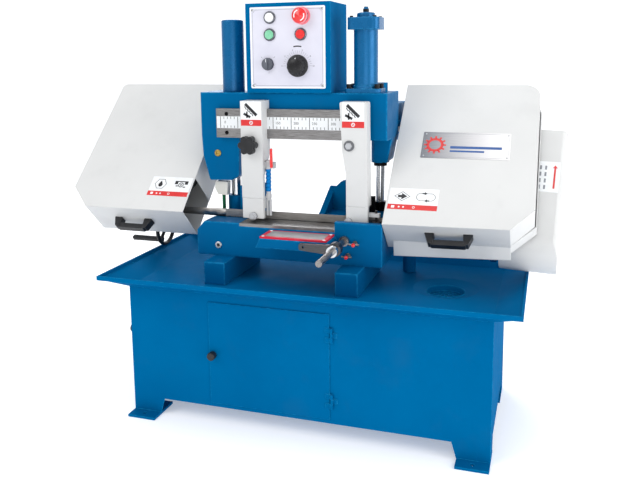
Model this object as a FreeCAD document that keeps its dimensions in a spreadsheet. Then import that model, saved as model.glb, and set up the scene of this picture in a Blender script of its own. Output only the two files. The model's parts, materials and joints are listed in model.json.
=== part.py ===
"""Twin-column horizontal band saw on a sheet-metal cabinet, as an assembly of separate pieces.

The floor frame has X to the right along the cabinet, Y to the back and Z up, with zero at the
middle of the cabinet's front face on the floor. Each band wheel has a slab frame of its own:
X to the right, Y up the slope of the saw band's plane and Z out of the wheel's open side. When
every piece is built, all of them are shifted so that the origin is on the floor under the middle
of the machine.
"""
import FreeCAD, Part
import math
import os
import re

from FreeCAD import Placement, Rotation, Vector

DIMENSIONS = {
    # cabinet, doors and tray
    "cabinet_length": 1158, "cabinet_depth": 513, "cabinet_base": 56, "cabinet_top": 430,
    "sheet_wall": 3, "leg_width": 112, "leg_depth": 76, "leg_taper": 14,
    "foot_width": 97, "foot_length": 121, "foot_plate": 8, "foot_bore": 7, "foot_overhang": 45,
    "door_width": 398, "door_height": 335, "door_plate": 2.5, "door_low": 69, "door_hinge": 108,
    "side_door_width": 270, "side_door_height": 300, "side_door_low": 90, "side_hinge": 307,
    "door_gap": 0.5, "door_lip": 3, "hinge_height": 46, "hinge_barrel": 4.5, "hinge_pin": 2.5,
    "knob_radius": 13, "knob_length": 24, "knob_shaft": 5, "latch_length": 34,
    "tray_flare": 76, "tray_front_flare": 58, "tray_slope_top": 463, "tray_lip_top": 475,
    "tray_lip_wall": 4,
    # bed, table and vise
    "bed_front": 165, "bed_back": 380, "table_back": 360, "bed_low": 508, "bed_seat": 612,
    "table_top": 622,
    "bed_left": -412, "bed_right": 222, "apron_right": 224, "table_left": -258, "table_right": 70,
    "rim_top": 645, "saddle_width": 72, "saddle_length": 300,
    "shelf_left": -150, "shelf_right": 69, "shelf_front": 77, "shelf_low": 568,
    "shelf_seat": 600, "shelf_plate": 6,
    "screw_y": 350, "screw_z": 540, "screw_radius": 12, "handwheel_radius": 58,
    "handwheel_rim": 7, "grip_radius": 10, "grip_reach": 50, "grip_length": 100, "handwheel_x": -640,
    "jaw_back": 357, "jaw_front": 274,
    # columns and lift
    "column_y": 345, "left_column_x": -345, "left_column_radius": 18, "column_top": 1275,
    "right_column_x": 168, "right_column_y": 382, "right_column_radius": 14,
    "right_column_top": 1070, "column_fit": 0.05,
    "lift_x": 134, "lift_y": 320, "lift_rod": 12, "lift_piston": 30, "lift_barrel": 39,
    "sleeve_radius": 38,
    # bow
    "bridge_left": -438, "bridge_right": 215, "bridge_front": 272, "bridge_back": 445,
    "bridge_low": 895, "bridge_top": 1046,
    "rail_front": 250, "rail_left": -371, "rail_right": 160, "rail_height": 98,
    "arm_front": 205, "arm_low": 632, "arm_top": 1022, "arm_width": 76, "left_arm_x": -262,
    "guide_gap": 1, "box_left": -260, "box_width": 292, "box_front": 262, "box_depth": 190,
    "box_height": 291, "panel_plate": 3,
    # saw band, wheels and covers
    "blade_y": 250, "blade_low": 622, "blade_height": 27, "blade_thickness": 0.9,
    "wheel_radius": 193, "left_wheel_x": -690, "right_wheel_x": 456, "wheel_width": 32,
    "slab_tilt": 45, "cover_half": 231, "right_cover_half": 218, "right_case_half": 224,
    "cover_rise": 7, "cover_low": -251, "cover_high": 329, "cover_face": 80,
    "cover_wall": 2, "cover_corner": 80, "left_cover_back": -64, "right_cover_back": -12,
    "left_case_back": -71, "right_case_back": -55, "notch_high": -110, "hinge_axis_up": 336.5,
    "cover_pin": 4,
    # drive behind the right wheel
    "drive_turn": -3, "drive_depth": -131, "worm_up": 110, "motor_up": -160,
    "worm_pulley": 62, "small_pulley": 38, "motor_radius": 62, "pulley_x": 200,
    "guard_left": 124, "guard_right": 298, "guard_front": -61, "guard_back": -201,
    "guard_high": 267, "guard_low": -238, "guard_nose": 28,
}

doc = FreeCAD.newDocument("band_saw")
dims = doc.addObject("Spreadsheet::Sheet", "dims")
for line, (word, number) in enumerate(DIMENSIONS.items(), start=1):
    dims.set("A%d" % line, word)
    dims.set("B%d" % line, str(number))
    dims.setAlias("B%d" % line, word)
doc.recompute()

SIZE = {word: float(dims.get(word)) for word in DIMENSIONS}
NODES = []


# ---------------------------------------------------------------- helpers
def size(word):
    """The number in the dimension sheet's cell of that name."""
    return SIZE[word]


def formula(text):
    """Words such as 'door_width - 2 * door_lip' as an expression on the dimension sheet."""
    return re.sub(r"[a-z][a-z_]*",
                  lambda word: "dims." + word.group(0) if word.group(0) in DIMENSIONS else word.group(0),
                  str(text))


def bind(thing, **sizes):
    """Bind each named property of a document object to the dimension sheet."""
    for name, text in sizes.items():
        thing.setExpression(name, formula(text))
    return thing


def box(x, y, z, length, width, height):
    """A block from its low corner."""
    block = doc.addObject("Part::Box", "Block")
    block.Placement.Base = Vector(x, y, z)
    return bind(block, Length=length, Width=width, Height=height)


AXIS_TURN = {"x": Rotation(Vector(0, 1, 0), 90), "y": Rotation(Vector(1, 0, 0), -90), "z": Rotation()}


def bar(x, y, z, radius, length, axis="z"):
    """A round bar that starts at a point and runs along +axis."""
    rod = doc.addObject("Part::Cylinder", "Bar")
    rod.Placement = Placement(Vector(x, y, z), AXIS_TURN[axis])
    return bind(rod, Radius=radius, Height=length)


def join(*pieces):
    """Several overlapping pieces as one solid."""
    fused = doc.addObject("Part::MultiFuse", "Joined")
    fused.Shapes = list(pieces)
    return fused


def group(*pieces):
    """Several separate solids in one object."""
    bundle = doc.addObject("Part::Compound", "Group")
    bundle.Links = list(pieces)
    return bundle


def cut(base, *tools):
    """A piece with one or more tools taken away."""
    result = doc.addObject("Part::Cut", "Machined")
    result.Base = base
    result.Tool = tools[0] if len(tools) == 1 else join(*tools)
    return result


def outline_geometry(corners):
    """Lines and tangent arcs of a closed outline: corners are (a, b) or (a, b, radius)."""
    count = len(corners)
    ends = []
    for index, corner in enumerate(corners):
        here = Vector(corner[0], corner[1], 0)
        radius = corner[2] if len(corner) > 2 else 0
        before = Vector(corners[index - 1][0], corners[index - 1][1], 0) - here
        after = Vector(corners[(index + 1) % count][0], corners[(index + 1) % count][1], 0) - here
        before.normalize()
        after.normalize()
        if radius == 0:
            ends.append((here, None, here))
            continue
        half = before.getAngle(after) / 2
        reach = radius / math.tan(half)
        middle = before + after
        middle.normalize()
        centre = here + middle * (radius / math.sin(half))
        ends.append((here + before * reach, centre - middle * radius, here + after * reach))
    pieces = []
    for index, (start, arc_middle, stop) in enumerate(ends):
        if arc_middle is not None:
            pieces.append(Part.Arc(start, arc_middle, stop))
        following = ends[(index + 1) % count][0]
        if (following - stop).Length > 1e-6:
            pieces.append(Part.LineSegment(stop, following))
    return pieces


SKETCH_TURN = {"xy": Rotation(), "xz": Rotation(Vector(1, 0, 0), 90),
               "yz": Rotation(Vector(1, 1, 1), 120)}
NORMAL = {"xy": Vector(0, 0, 1), "xz": Vector(0, 1, 0), "yz": Vector(1, 0, 0)}


def prism(plane, corners, start, depth, holes=()):
    """An outline drawn in a plane and extruded along the plane's positive axis from start.

    Holes are (a, b, radius) circles through the outline."""
    sketch = doc.addObject("Sketcher::SketchObject", "Outline")
    for piece in outline_geometry(corners):
        sketch.addGeometry(piece, False)
    for across, along, radius in holes:
        sketch.addGeometry(Part.Circle(Vector(across, along, 0), Vector(0, 0, 1), radius), False)
    sketch.Placement = Placement(NORMAL[plane] * start, SKETCH_TURN[plane])
    solid = doc.addObject("Part::Extrusion", "Prism")
    solid.Base = sketch
    solid.DirMode = "Custom"
    solid.Dir = NORMAL[plane]
    solid.Solid = True
    solid.FaceMakerClass = "Part::FaceMakerBullseye"
    return bind(solid, LengthFwd=depth)


def origin_plane(body, role):
    return next(plane for plane in body.Origin.OriginFeatures if plane.Role == role)


def turned(profile, name="Turned"):
    """A PartDesign body turned about its Z axis from (radius, height) corners."""
    body = doc.addObject("PartDesign::Body", name)
    sketch = body.newObject("Sketcher::SketchObject", "Profile")
    sketch.AttachmentSupport = (origin_plane(body, "XZ_Plane"), [""])
    sketch.MapMode = "FlatFace"
    for piece in outline_geometry(profile):
        sketch.addGeometry(piece, False)
    doc.recompute()
    lathe = body.newObject("PartDesign::Revolution", "Lathe")
    lathe.Profile = sketch
    lathe.ReferenceAxis = (sketch, ["V_Axis"])
    lathe.Angle = 360
    return body


def ring_of_holes(body, distance, radius, depth, count, turn=0):
    """Cut round holes down from a body's top of its XY plane, evenly round its Z axis."""
    sketch = body.newObject("Sketcher::SketchObject", "Holes")
    sketch.AttachmentSupport = (origin_plane(body, "XY_Plane"), [""])
    sketch.MapMode = "FlatFace"
    angle = math.radians(turn)
    spot = Vector(distance * math.cos(angle), distance * math.sin(angle), 0)
    sketch.addGeometry(Part.Circle(spot, Vector(0, 0, 1), radius), False)
    doc.recompute()
    pocket = body.newObject("PartDesign::Pocket", "Hole")
    pocket.Profile = sketch
    pocket.Midplane = True
    pocket.Length = depth
    doc.recompute()
    pattern = body.newObject("PartDesign::PolarPattern", "Ring")
    pattern.Originals = [pocket]
    pattern.Axis = (sketch, ["N_Axis"])
    pattern.Angle = 360
    pattern.Occurrences = count
    body.Tip = pattern
    return body


def custom(shape):
    """A shape made with Part's own functions from the sheet's sizes."""
    feature = doc.addObject("Part::Feature", "Custom")
    feature.Shape = shape
    return feature


def moved(piece, placement):
    piece.Placement = placement.multiply(piece.Placement)
    return piece


def node(label, piece, frame=Placement()):
    """Register a finished sub-part in its frame."""
    piece.Label = label
    moved(piece, frame)
    NODES.append(piece)
    return piece


# ---------------------------------------------------------------- frames
TILT = Rotation(Vector(1, 0, 0), size("slab_tilt"))
BLADE_MIDDLE = size("blade_low") + size("blade_height") / 2
SLOPE = size("wheel_radius") * math.sin(math.radians(size("slab_tilt")))
WHEEL_Y = size("blade_y") + SLOPE
WHEEL_Z = BLADE_MIDDLE + SLOPE
LEFT_SLAB = Placement(Vector(size("left_wheel_x"), WHEEL_Y, WHEEL_Z), TILT)
RIGHT_SLAB = Placement(Vector(size("right_wheel_x"), WHEEL_Y, WHEEL_Z), TILT)
DRIVE = RIGHT_SLAB.multiply(Placement(Vector(), Rotation(Vector(0, 0, 1), size("drive_turn"))))
FACING_FRONT = Rotation(Vector(1, 0, 0), 90)
HALF = size("cabinet_length") / 2


# ---------------------------------------------------------------- cabinet and doors
def leg(side, front):
    """One folded corner leg with its foot plate; side is -1 or 1, front is True or False."""
    low, high = size("foot_plate"), size("cabinet_base")
    taper = size("leg_taper")
    outer = side * HALF
    wide, deep = side * size("leg_width"), size("leg_depth")
    flat_y = 0 if front else size("cabinet_depth") - size("sheet_wall")
    face = prism("xz", [(outer, low), (outer, high), (outer - wide, high),
                        (outer - wide + side * taper, low)], flat_y, "sheet_wall")
    corner_y = 0 if front else size("cabinet_depth")
    inward = deep if front else -deep
    taper_y = taper if front else -taper
    flat_x = outer if side < 0 else outer - size("sheet_wall")
    flank = prism("yz", [(corner_y, low), (corner_y, high), (corner_y + inward, high),
                         (corner_y + inward - taper_y, low)], flat_x, "sheet_wall")
    plate_x = outer if side < 0 else outer - size("foot_width")
    plate_y = -size("foot_overhang") if front else size("cabinet_depth") + 3 - size("foot_length")
    bore_y = plate_y + 23
    plate = prism("xy", [(plate_x, plate_y), (plate_x + size("foot_width"), plate_y),
                         (plate_x + size("foot_width"), plate_y + size("foot_length")),
                         (plate_x, plate_y + size("foot_length"))], 0, "foot_plate",
                  holes=[(plate_x + size("foot_width") / 2, bore_y, size("foot_bore"))])
    return [face, flank, plate]


def build_cabinet():
    wall = size("sheet_wall")
    shell = box(-HALF, 0, size("cabinet_base"), "cabinet_length", "cabinet_depth",
                "cabinet_top - cabinet_base")
    room = box(wall - HALF, wall, size("cabinet_base") + wall, "cabinet_length - 2 * sheet_wall",
               "cabinet_depth - 2 * sheet_wall", "cabinet_top - cabinet_base")
    lip = size("door_lip")
    door_free = size("door_hinge") - 7 - size("door_width")
    front_opening = box(door_free + lip, -1, size("door_low") + lip, "door_width - 2 * door_lip",
                        "sheet_wall + 2", "door_height - 2 * door_lip")
    side_free = size("side_hinge") - 7 - size("side_door_width")
    side_opening = box(-HALF - 1, side_free + lip, size("side_door_low") + lip, "sheet_wall + 2",
                       "side_door_width - 2 * door_lip", "side_door_height - 2 * door_lip")
    legs = []
    for side in (-1, 1):
        for front in (True, False):
            legs += leg(side, front)
    hinges = []
    for frame, way, low, height in ((FRONT_DOOR, -1, "door_low", "door_height"),
                                    (SIDE_DOOR, 1, "side_door_low", "side_door_height")):
        hinges += [moved(half, frame) for half in fixed_hinge(way, low, height)]
    node("cabinet", group(join(cut(shell, room, front_opening, side_opening), *legs), *hinges))


def door_leaf(way, width, low, height, knob_height):
    """A flat door with two hinge knuckles; it runs from the hinge line towards way (-1 or 1).

    Its frame has the hinge axis at x = 0 and the cabinet's wall at y = 0, with the room at +y."""
    near, far = 7, 7 + size(width)
    start = min(way * near, way * far)
    front = -size("door_gap") - size("door_plate")
    sheet = box(start, front, size(low), width, "door_plate", height)
    knob_hole = bar(way * (far - 14), front - 1, knob_height, "knob_shaft + column_fit", 5, "y")
    solids = [cut(sheet, knob_hole)]
    for hinge_low in hinge_heights(low, height):
        for low_third in (0, 2):
            third = size("hinge_height") / 3
            z = hinge_low + low_third * third
            knuckle = bar(0, -5.5, z, "hinge_barrel", "hinge_height / 3 - 0.4")
            bore = bar(0, -5.5, z - 1, "hinge_pin + column_fit", "hinge_height")
            strap = box(min(way * 3.6, way * 20), front - 2, z, 16.4, 2, "hinge_height / 3 - 0.4")
            solids.append(cut(join(knuckle, strap), bore))
    return join(*solids)


def hinge_heights(low, height):
    """The low ends of a door's two hinges."""
    return (size(low) + 38, size(low) + size(height) - 88)


def fixed_hinge(way, low, height):
    """The cabinet's halves of a door's hinges, each with its pin."""
    halves = []
    third = size("hinge_height") / 3
    for z in hinge_heights(low, height):
        pin = bar(0, -5.5, z, "hinge_pin", "hinge_height")
        knuckle = bar(0, -5.5, z + third, "hinge_barrel", "hinge_height / 3 - 0.4")
        leaf = box(min(0, -way * 16), -2, z + third, 16, 2, "hinge_height / 3 - 0.4")
        halves.append(join(pin, knuckle, leaf))
    return halves


def latch_knob(label, frame):
    """A turning knob with its shaft and the latch tongue that hangs down when it is open."""
    front = -size("door_gap") - size("door_plate")
    grip = turned([(0, 0), (size("knob_radius") - 3, 0), (size("knob_radius"), 6, 2),
                   (size("knob_radius"), size("knob_length"), 4), (0, size("knob_length"))])
    grip.Placement = Placement(Vector(0, front - 0.2, 0), FACING_FRONT)
    shaft = bar(0, front - 4, 0, "knob_shaft", 17, "y")
    tongue = box(-8, 8, -size("latch_length"), 16, 3, "latch_length + 8")
    node(label, join(grip, shaft, tongue), frame)


FRONT_DOOR = Placement(Vector(size("door_hinge"), 0, 0), Rotation())
SIDE_DOOR = Placement(Vector(-HALF, size("side_hinge"), 0), Rotation(Vector(0, 0, 1), -90))
FRONT_KNOB_Z, SIDE_KNOB_Z = 233, 270


def build_doors():
    node("cabinet_door", door_leaf(-1, "door_width", "door_low", "door_height", FRONT_KNOB_Z), FRONT_DOOR)
    node("side_door", door_leaf(1, "side_door_width", "side_door_low", "side_door_height", SIDE_KNOB_Z),
         SIDE_DOOR)
    latch_knob("door_knob", FRONT_DOOR.multiply(
        Placement(Vector(-7 - size("door_width") + 14, 0, FRONT_KNOB_Z), Rotation())))
    latch_knob("side_door_knob", SIDE_DOOR.multiply(
        Placement(Vector(7 + size("side_door_width") - 14, 0, SIDE_KNOB_Z), Rotation())))


# ---------------------------------------------------------------- tray and what stands in the cabinet
def frustum(inset, low, high):
    """The tray's flared inside or outside, as a wedge between two rectangles."""
    wedge = doc.addObject("Part::Wedge", "Flare")
    wedge.Placement = Placement(Vector(0, 0, low), FACING_FRONT)
    bind(wedge, Xmin="-cabinet_length / 2 + %g" % inset, Xmax="cabinet_length / 2 - %g" % inset,
         X2min="-cabinet_length / 2 - tray_flare + %g" % inset,
         X2max="cabinet_length / 2 + tray_flare - %g" % inset,
         Zmin="-cabinet_depth + %g" % inset, Zmax=-inset,
         Z2min="-cabinet_depth - tray_front_flare + %g" % inset, Z2max="tray_front_flare - %g" % inset,
         Ymin=0, Ymax=high - low)
    return wedge


DRAIN = (411, 251)


def build_tray():
    floor, top = size("cabinet_top"), size("tray_slope_top")
    pan = cut(frustum(0, floor, top), frustum(size("sheet_wall"), floor + size("sheet_wall"), top + 3))
    lip = size("tray_lip_wall")
    out_x, out_y = HALF + size("tray_flare") + lip, size("tray_front_flare") + lip
    ring = cut(box(-out_x, -out_y, top - 2, "cabinet_length + 2 * tray_flare + 2 * tray_lip_wall",
                   "cabinet_depth + 2 * tray_front_flare + 2 * tray_lip_wall",
                   "tray_lip_top - tray_slope_top + 2"),
               box(-out_x + lip + 2, -out_y + lip + 2, top - 4,
                   "cabinet_length + 2 * tray_flare - 4", "cabinet_depth + 2 * tray_front_flare - 4",
                   "tray_lip_top - tray_slope_top + 6"))
    well = turned([(0, -30), (64, -30), (64, -14), (107, -3), (107, 0), (103, 0), (62, -10), (60, -8),
                   (58, -10), (58, -27), (0, -27)])
    well.Placement.Base = Vector(DRAIN[0], DRAIN[1], floor + size("sheet_wall"))
    holes = []
    for count, distance in ((1, 0), (8, 20), (14, 40)):
        for step in range(count):
            angle = 2 * math.pi * step / count
            holes.append(bar(DRAIN[0] + distance * math.cos(angle),
                             DRAIN[1] + distance * math.sin(angle), floor - 30, 5, 12))
    mouth = bar(DRAIN[0], DRAIN[1], floor - 2, 104, 8)
    node("chip_tray", join(cut(pan, mouth), ring, cut(well, *holes)))


def build_power_units():
    floor = size("cabinet_base") + size("sheet_wall")
    tank = cut(box(150, 60, floor, 400, 380, 170), box(153, 63, floor + 3, 394, 374, 170))
    pump_lid = box(150, 200, floor + 170, 400, 100, 4)
    pump = join(bar(300, 250, floor + 174, 50, 110), bar(300, 250, floor + 30, 24, 150),
                bar(300, 250, floor + 24, 40, 24), bar(340, 250, floor + 190, 10, 60, "x"))
    node("coolant_pump", join(tank, pump_lid, pump))
    reservoir = box(-540, 80, floor, 200, 300, 160)
    hydraulic_motor = bar(-440, 230, floor + 160, 60, 150)
    valve_block = box(-520, 100, floor + 160, 60, 70, 60)
    node("hydraulic_unit", join(reservoir, hydraulic_motor, valve_block))


# ---------------------------------------------------------------- bed, table and vise
LEFT_SADDLE, RIGHT_SADDLE = -348, 95
POST = (265, 404)


def build_bed():
    floor = size("cabinet_top") + size("sheet_wall")
    saddles = [box(x, 80, floor, "saddle_width", "saddle_length", "bed_low - cabinet_top - sheet_wall")
               for x in (LEFT_SADDLE, RIGHT_SADDLE)]
    post = bar(POST[0], POST[1], floor, 22, 90)
    node("saddle_blocks", group(*saddles, post))

    seat, low = size("bed_seat"), size("bed_low")
    left, right = size("bed_left"), size("bed_right")
    top = size("table_top")
    block = prism("xz", [(left, low, 6), (right, low), (right, seat), (size("table_left"), seat),
                         (size("table_left"), top), (left + 27, top), (left, top - 30)],
                  size("bed_front"), "bed_back - bed_front")
    rim = box(size("table_right"), size("bed_front"), seat - 4, "bed_right - table_right", 22,
              "rim_top - bed_seat + 4")
    end, rim_top = size("apron_right"), size("rim_top")
    apron = join(prism("xz", [(right - 20, low), (end, low, 6), (end, seat - 6), (right + 2, 631),
                              (right + 1, rim_top), (right - 20, rim_top)], size("bed_front"), 5),
                 prism("xz", [(right - 20, low), (end, low, 6), (end, seat - 6), (right - 20, seat - 6)],
                       size("bed_front"), 20))
    pedestal = box(118, 300, low, 104, 115, "rim_top - bed_low")
    jaw_pad = box(-24, size("table_back"), seat - 40, 150, 80, "table_top - bed_seat + 40")
    boss = bar(size("left_column_x"), size("column_y"), seat, 30, 70)
    shelf = prism("xz", [(size("shelf_left"), size("shelf_seat")), (size("shelf_right"), size("shelf_seat")),
                         (size("shelf_right") + 16, size("shelf_low")),
                         (size("shelf_left") - 16, size("shelf_low"))],
                  size("shelf_front"), "bed_front - shelf_front + 2")
    column_seat = bar(size("left_column_x"), size("column_y"), size("table_top"),
                      "left_column_radius + column_fit", 90)
    channel = box(left + 18, 312, 515, 452, 62, 85)
    screw_bore = bar(left - 1, size("screw_y"), size("screw_z"), "screw_radius + column_fit", 40, "x")
    jaw_slot = box(-308, 318, 596, 268, 26, 40)
    blade_slot = box(left - 5, size("blade_y") - 7, seat - 12, 529, 14, 40)
    stop_socket = bar(-335, size("bed_front") - 1, 543, 8, 14, "y")
    node("bed_casting", cut(join(block, rim, apron, pedestal, jaw_pad, boss, shelf), column_seat, channel,
                            screw_bore, jaw_slot, blade_slot, stop_socket))


def build_table():
    left, right = size("table_left"), size("table_right")
    seat = size("bed_seat")
    front = box(left, size("bed_front"), seat, "table_right - table_left", "blade_y - 7 - bed_front",
                "table_top - bed_seat")
    back_start = size("blade_y") + 7
    back = box(left, back_start, seat, "table_right - table_left", "table_back - blade_y - 7.2",
               "table_top - bed_seat")
    slot = box(left - 1, 318, seat - 1, 219, 26, 12)
    node("table_plates", group(front, cut(back, slot)))
    plate = box(size("shelf_left"), size("shelf_front"), size("shelf_seat"), "shelf_right - shelf_left",
                "bed_front - shelf_front - 0.2", "shelf_plate")
    node("outfeed_plate", plate)


def build_vise():
    top, front, back = size("table_top"), size("jaw_front"), size("jaw_back")
    plate = prism("yz", [(front, top), (front, top + 10), (front + 32, top + 22), (430, 711), (440, 711),
                         (440, top)], -24, 20)
    gusset = prism("xz", [(-10, top), (-10, 700), (22, 732), (80, 745), (110, 700), (110, top)], 404, 36)
    foot = box(-10, front + 40, top, 70, 120, 14)
    node("fixed_jaw", join(plate, gusset, foot))

    left = -300
    jaw = join(box(left, front, top + 0.3, 24, "jaw_back - jaw_front", 104),
               box(left + 51, front, top + 0.3, 24, "jaw_back - jaw_front", 104),
               box(left, front, top + 0.3, 75, "jaw_back - jaw_front", 16),
               box(left, 302, top + 0.3, 75, 20, 90),
               box(left + 10, 319, 585, 55, 24, 45),
               box(left + 5, 316, 518, 65, 54, 76))
    bore = bar(left - 10, size("screw_y"), size("screw_z"), "screw_radius + column_fit", 100, "x")
    node("moving_jaw", cut(jaw, bore))

    screw_start = size("handwheel_x") + 12
    node("vise_screw", join(bar(screw_start, size("screw_y"), size("screw_z"), "screw_radius", 670, "x"),
                            bar(size("bed_left") - 14, size("screw_y"), size("screw_z"),
                                "screw_radius + 8", 12, "x")))

    rim = doc.addObject("Part::Torus", "Rim")
    bind(rim, Radius1="handwheel_radius", Radius2="handwheel_rim")
    rim.Placement = Placement(Vector(), AXIS_TURN["x"])
    hub = bar(-12, 0, 0, 17, 24, "x")
    spokes = []
    for turn in (15, 135, 255):
        spoke = bar(0, 0, 0, 6, "handwheel_radius")
        spoke.Placement = Placement(Vector(), Rotation(Vector(1, 0, 0), turn))
        spokes.append(spoke)
    angle = math.radians(225)
    grip_spot = Vector(0, size("grip_reach") * math.cos(angle), size("grip_reach") * math.sin(angle))
    lug = bar(-7, grip_spot.y, grip_spot.z, 11, 14, "x")
    stud = bar(-size("grip_length") - 18, grip_spot.y, grip_spot.z, 4, size("grip_length") + 18, "x")
    wheel_place = Placement(Vector(size("handwheel_x"), size("screw_y"), size("screw_z")), Rotation())
    node("vise_handwheel", join(rim, hub, lug, stud, *spokes), wheel_place)
    grip = cut(bar(-size("grip_length") - 12, grip_spot.y, grip_spot.z, "grip_radius", "grip_length", "x"),
               bar(-size("grip_length") - 13, grip_spot.y, grip_spot.z, "4 + column_fit", 110, "x"))
    node("handwheel_grip", grip, wheel_place)


STOP = (103, 588)
CLAMP_SCREWS = ((115, 541), (138, 582))


def build_length_stop():
    front = size("bed_front")
    rod = join(bar(STOP[0], -105, STOP[1], 10, "bed_front + 105", "y"),
               bar(STOP[0], front - 14, STOP[1], 16, 14, "y"))
    screws = []
    for x, z in CLAMP_SCREWS:
        screws.append(join(bar(x, front - 26, z, 4, 26, "y"), bar(x, front - 6, z, 8, 6, "y"),
                           bar(x - 17, front - 22, z, 3.2, 34, "x")))
    node("stop_rod", group(rod, *screws))
    node("stop_collar", cut(bar(STOP[0], 20, STOP[1], 17, 25, "y"),
                            bar(STOP[0], 19, STOP[1], "10 + column_fit", 30, "y")))
    blade = prism("xz", [(STOP[0], STOP[1] - 20, 3), (STOP[0], STOP[1] + 12, 3), (-12, STOP[1] + 10, 6),
                         (-12, STOP[1] - 10, 6)], 53, 11)
    node("stop_arm", cut(join(bar(STOP[0], 45.3, STOP[1], 21, 26, "y"), blade),
                         bar(STOP[0], 40, STOP[1], "10 + column_fit", 60, "y"),
                         bar(2, 50, STOP[1], 3.5, 20, "y")))


def build_limit_switch():
    body = prism("xz", [(-400, 736, 3), (-402, 712, 3), (-391, 690, 3), (-356, 688, 3), (-353, 736, 3)],
                 288, 25)
    post = bar(-374, 300, size("table_top"), 6, 68)
    node("limit_switch", join(body, post, bar(-374, 300, size("table_top"), 11, 5)))


# ---------------------------------------------------------------- columns and lift cylinder
def build_columns():
    left = bar(size("left_column_x"), size("column_y"), size("table_top"), "left_column_radius",
               "column_top - table_top")
    right = bar(size("right_column_x"), size("right_column_y"), size("rim_top"), "right_column_radius",
                "right_column_top - rim_top")
    foot = bar(size("right_column_x"), size("right_column_y"), size("rim_top"),
               "right_column_radius + 7", 32)
    node("guide_columns", group(left, join(right, foot)))

    rod = turned([(0, size("rim_top")), (size("lift_rod"), size("rim_top")), (size("lift_rod"), 1222),
                  (size("lift_piston"), 1222), (size("lift_piston"), 1244), (0, 1244)])
    rod.Placement.Base = Vector(size("lift_x"), size("lift_y"), 0)
    node("lift_piston_rod", rod)

    bore, outer = size("lift_piston") + size("column_fit"), size("lift_barrel")
    top = size("bridge_top")
    barrel = turned([(size("lift_rod") + size("column_fit"), size("bridge_low")), (38, size("bridge_low")),
                     (38, top), (outer + 4, top), (outer + 4, 1070, 3), (outer, 1070),
                     (outer, 1247), (bore, 1247), (bore, 910), (size("lift_rod") + size("column_fit"), 910)])
    flange = prism("xy", [(-62, -46, 16), (58, -46, 16), (58, 40, 16), (-62, 40, 16)], top, 14)
    screws = [join(bar(x, y, top + 14, 8, 11), bar(x, y, top + 25, 6, 3))
              for x, y in ((-48, -32), (44, -32), (44, 26), (-48, 26))]
    head = prism("xy", [(-52, -52, 22), (52, -52, 22), (52, 52, 22), (-52, 52, 22)], 1247, 38)
    dome = turned([(0, 1285), (29, 1285), (29, 1300, 5), (9, 1303), (9, 1312), (6, 1319), (0, 1319)])
    cylinder = join(cut(join(barrel, flange), bar(0, 0, 910, "lift_piston + column_fit", 337)),
                    head, dome, *screws)
    node("lift_cylinder", cylinder, Placement(Vector(size("lift_x"), size("lift_y"), 0), Rotation()))

    inner, wall_out = size("left_column_radius") + size("column_fit"), size("sleeve_radius")
    sleeve = turned([(inner, size("bridge_top")), (wall_out, size("bridge_top")), (wall_out, 1290, 5),
                     (0, 1290), (0, 1284), (inner + 4, 1284), (inner + 4, 1090), (inner, 1090)])
    sleeve.Placement.Base = Vector(size("left_column_x"), size("column_y"), 0)
    node("column_sleeve", sleeve)


# ---------------------------------------------------------------- bow
def build_bridge():
    left, right = size("bridge_left"), size("bridge_right")
    low, top = size("bridge_low"), size("bridge_top")
    front, back = size("bridge_front"), size("bridge_back")
    beam = box(left, front, low, "bridge_right - bridge_left", "bridge_back - bridge_front",
               "bridge_top - bridge_low")
    left_leg = prism("xz", [(left, low + 5), (left + 4, 830), (-411, 743, 8), (-330, 745, 8),
                            (-303, 760, 12), (-297, low + 5)], front, 130)
    right_leg = join(bar(size("right_column_x"), size("right_column_y"), 811, 30, 90),
                     prism("xz", [(150, low + 5), (150, 820, 6), (198, 811, 8), (right, low + 5)], 352, 93))
    wiper = bar(size("right_column_x"), size("right_column_y"), 799, 22, 14)
    stop_bar = box(144, 330, size("rim_top") + 0.3, 16, 16, "bridge_low - rim_top + 5")
    ribs = [box(x, back - 5, 940, 56, 200, 60) for x in (-420, 150)]
    cap = bar(size("right_column_x") + 4, size("right_column_y"), top - 2, 20, 32)
    window = box(-275, front + 20, low + 17, 340, 160, "bridge_top - bridge_low - 34")
    bores = [bar(size("left_column_x"), size("column_y"), 700, "left_column_radius + column_fit", 400),
             bar(size("right_column_x"), size("right_column_y"), 700,
                 "right_column_radius + column_fit", 373),
             bar(size("lift_x"), size("lift_y"), 700, 38.1, 400)]
    face, back_face = size("left_case_back"), size("left_case_back") - 50
    spine = prism("yz", [(240, back_face), (240, face), (329, face), (329, back_face)],
                  size("left_wheel_x") - 190, "right_wheel_x - left_wheel_x + 300")
    pads = [box(size("right_wheel_x") + x, 262, face - 1, 60, 50, "right_case_back - left_case_back + 1")
            for x in (-200, 40)]
    frame = join(spine, *pads)
    frame.Placement = Placement(Vector(0, WHEEL_Y, WHEEL_Z), TILT)
    node("bridge_casting", cut(join(beam, left_leg, right_leg, wiper, stop_bar, cap, frame, *ribs),
                               window, *bores))


def build_rail():
    left, front = size("rail_left"), size("rail_front")
    rail = box(left, front, size("bridge_low"), "rail_right - rail_left", "bridge_front - rail_front",
               "rail_height")
    sockets = [bar(x, front - 1, z, 7, 9, "y") for x in (-333, 120) for z in (912, 975)]
    node("guide_rail", cut(rail, *sockets))


BRUSH = (190, 230)


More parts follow.
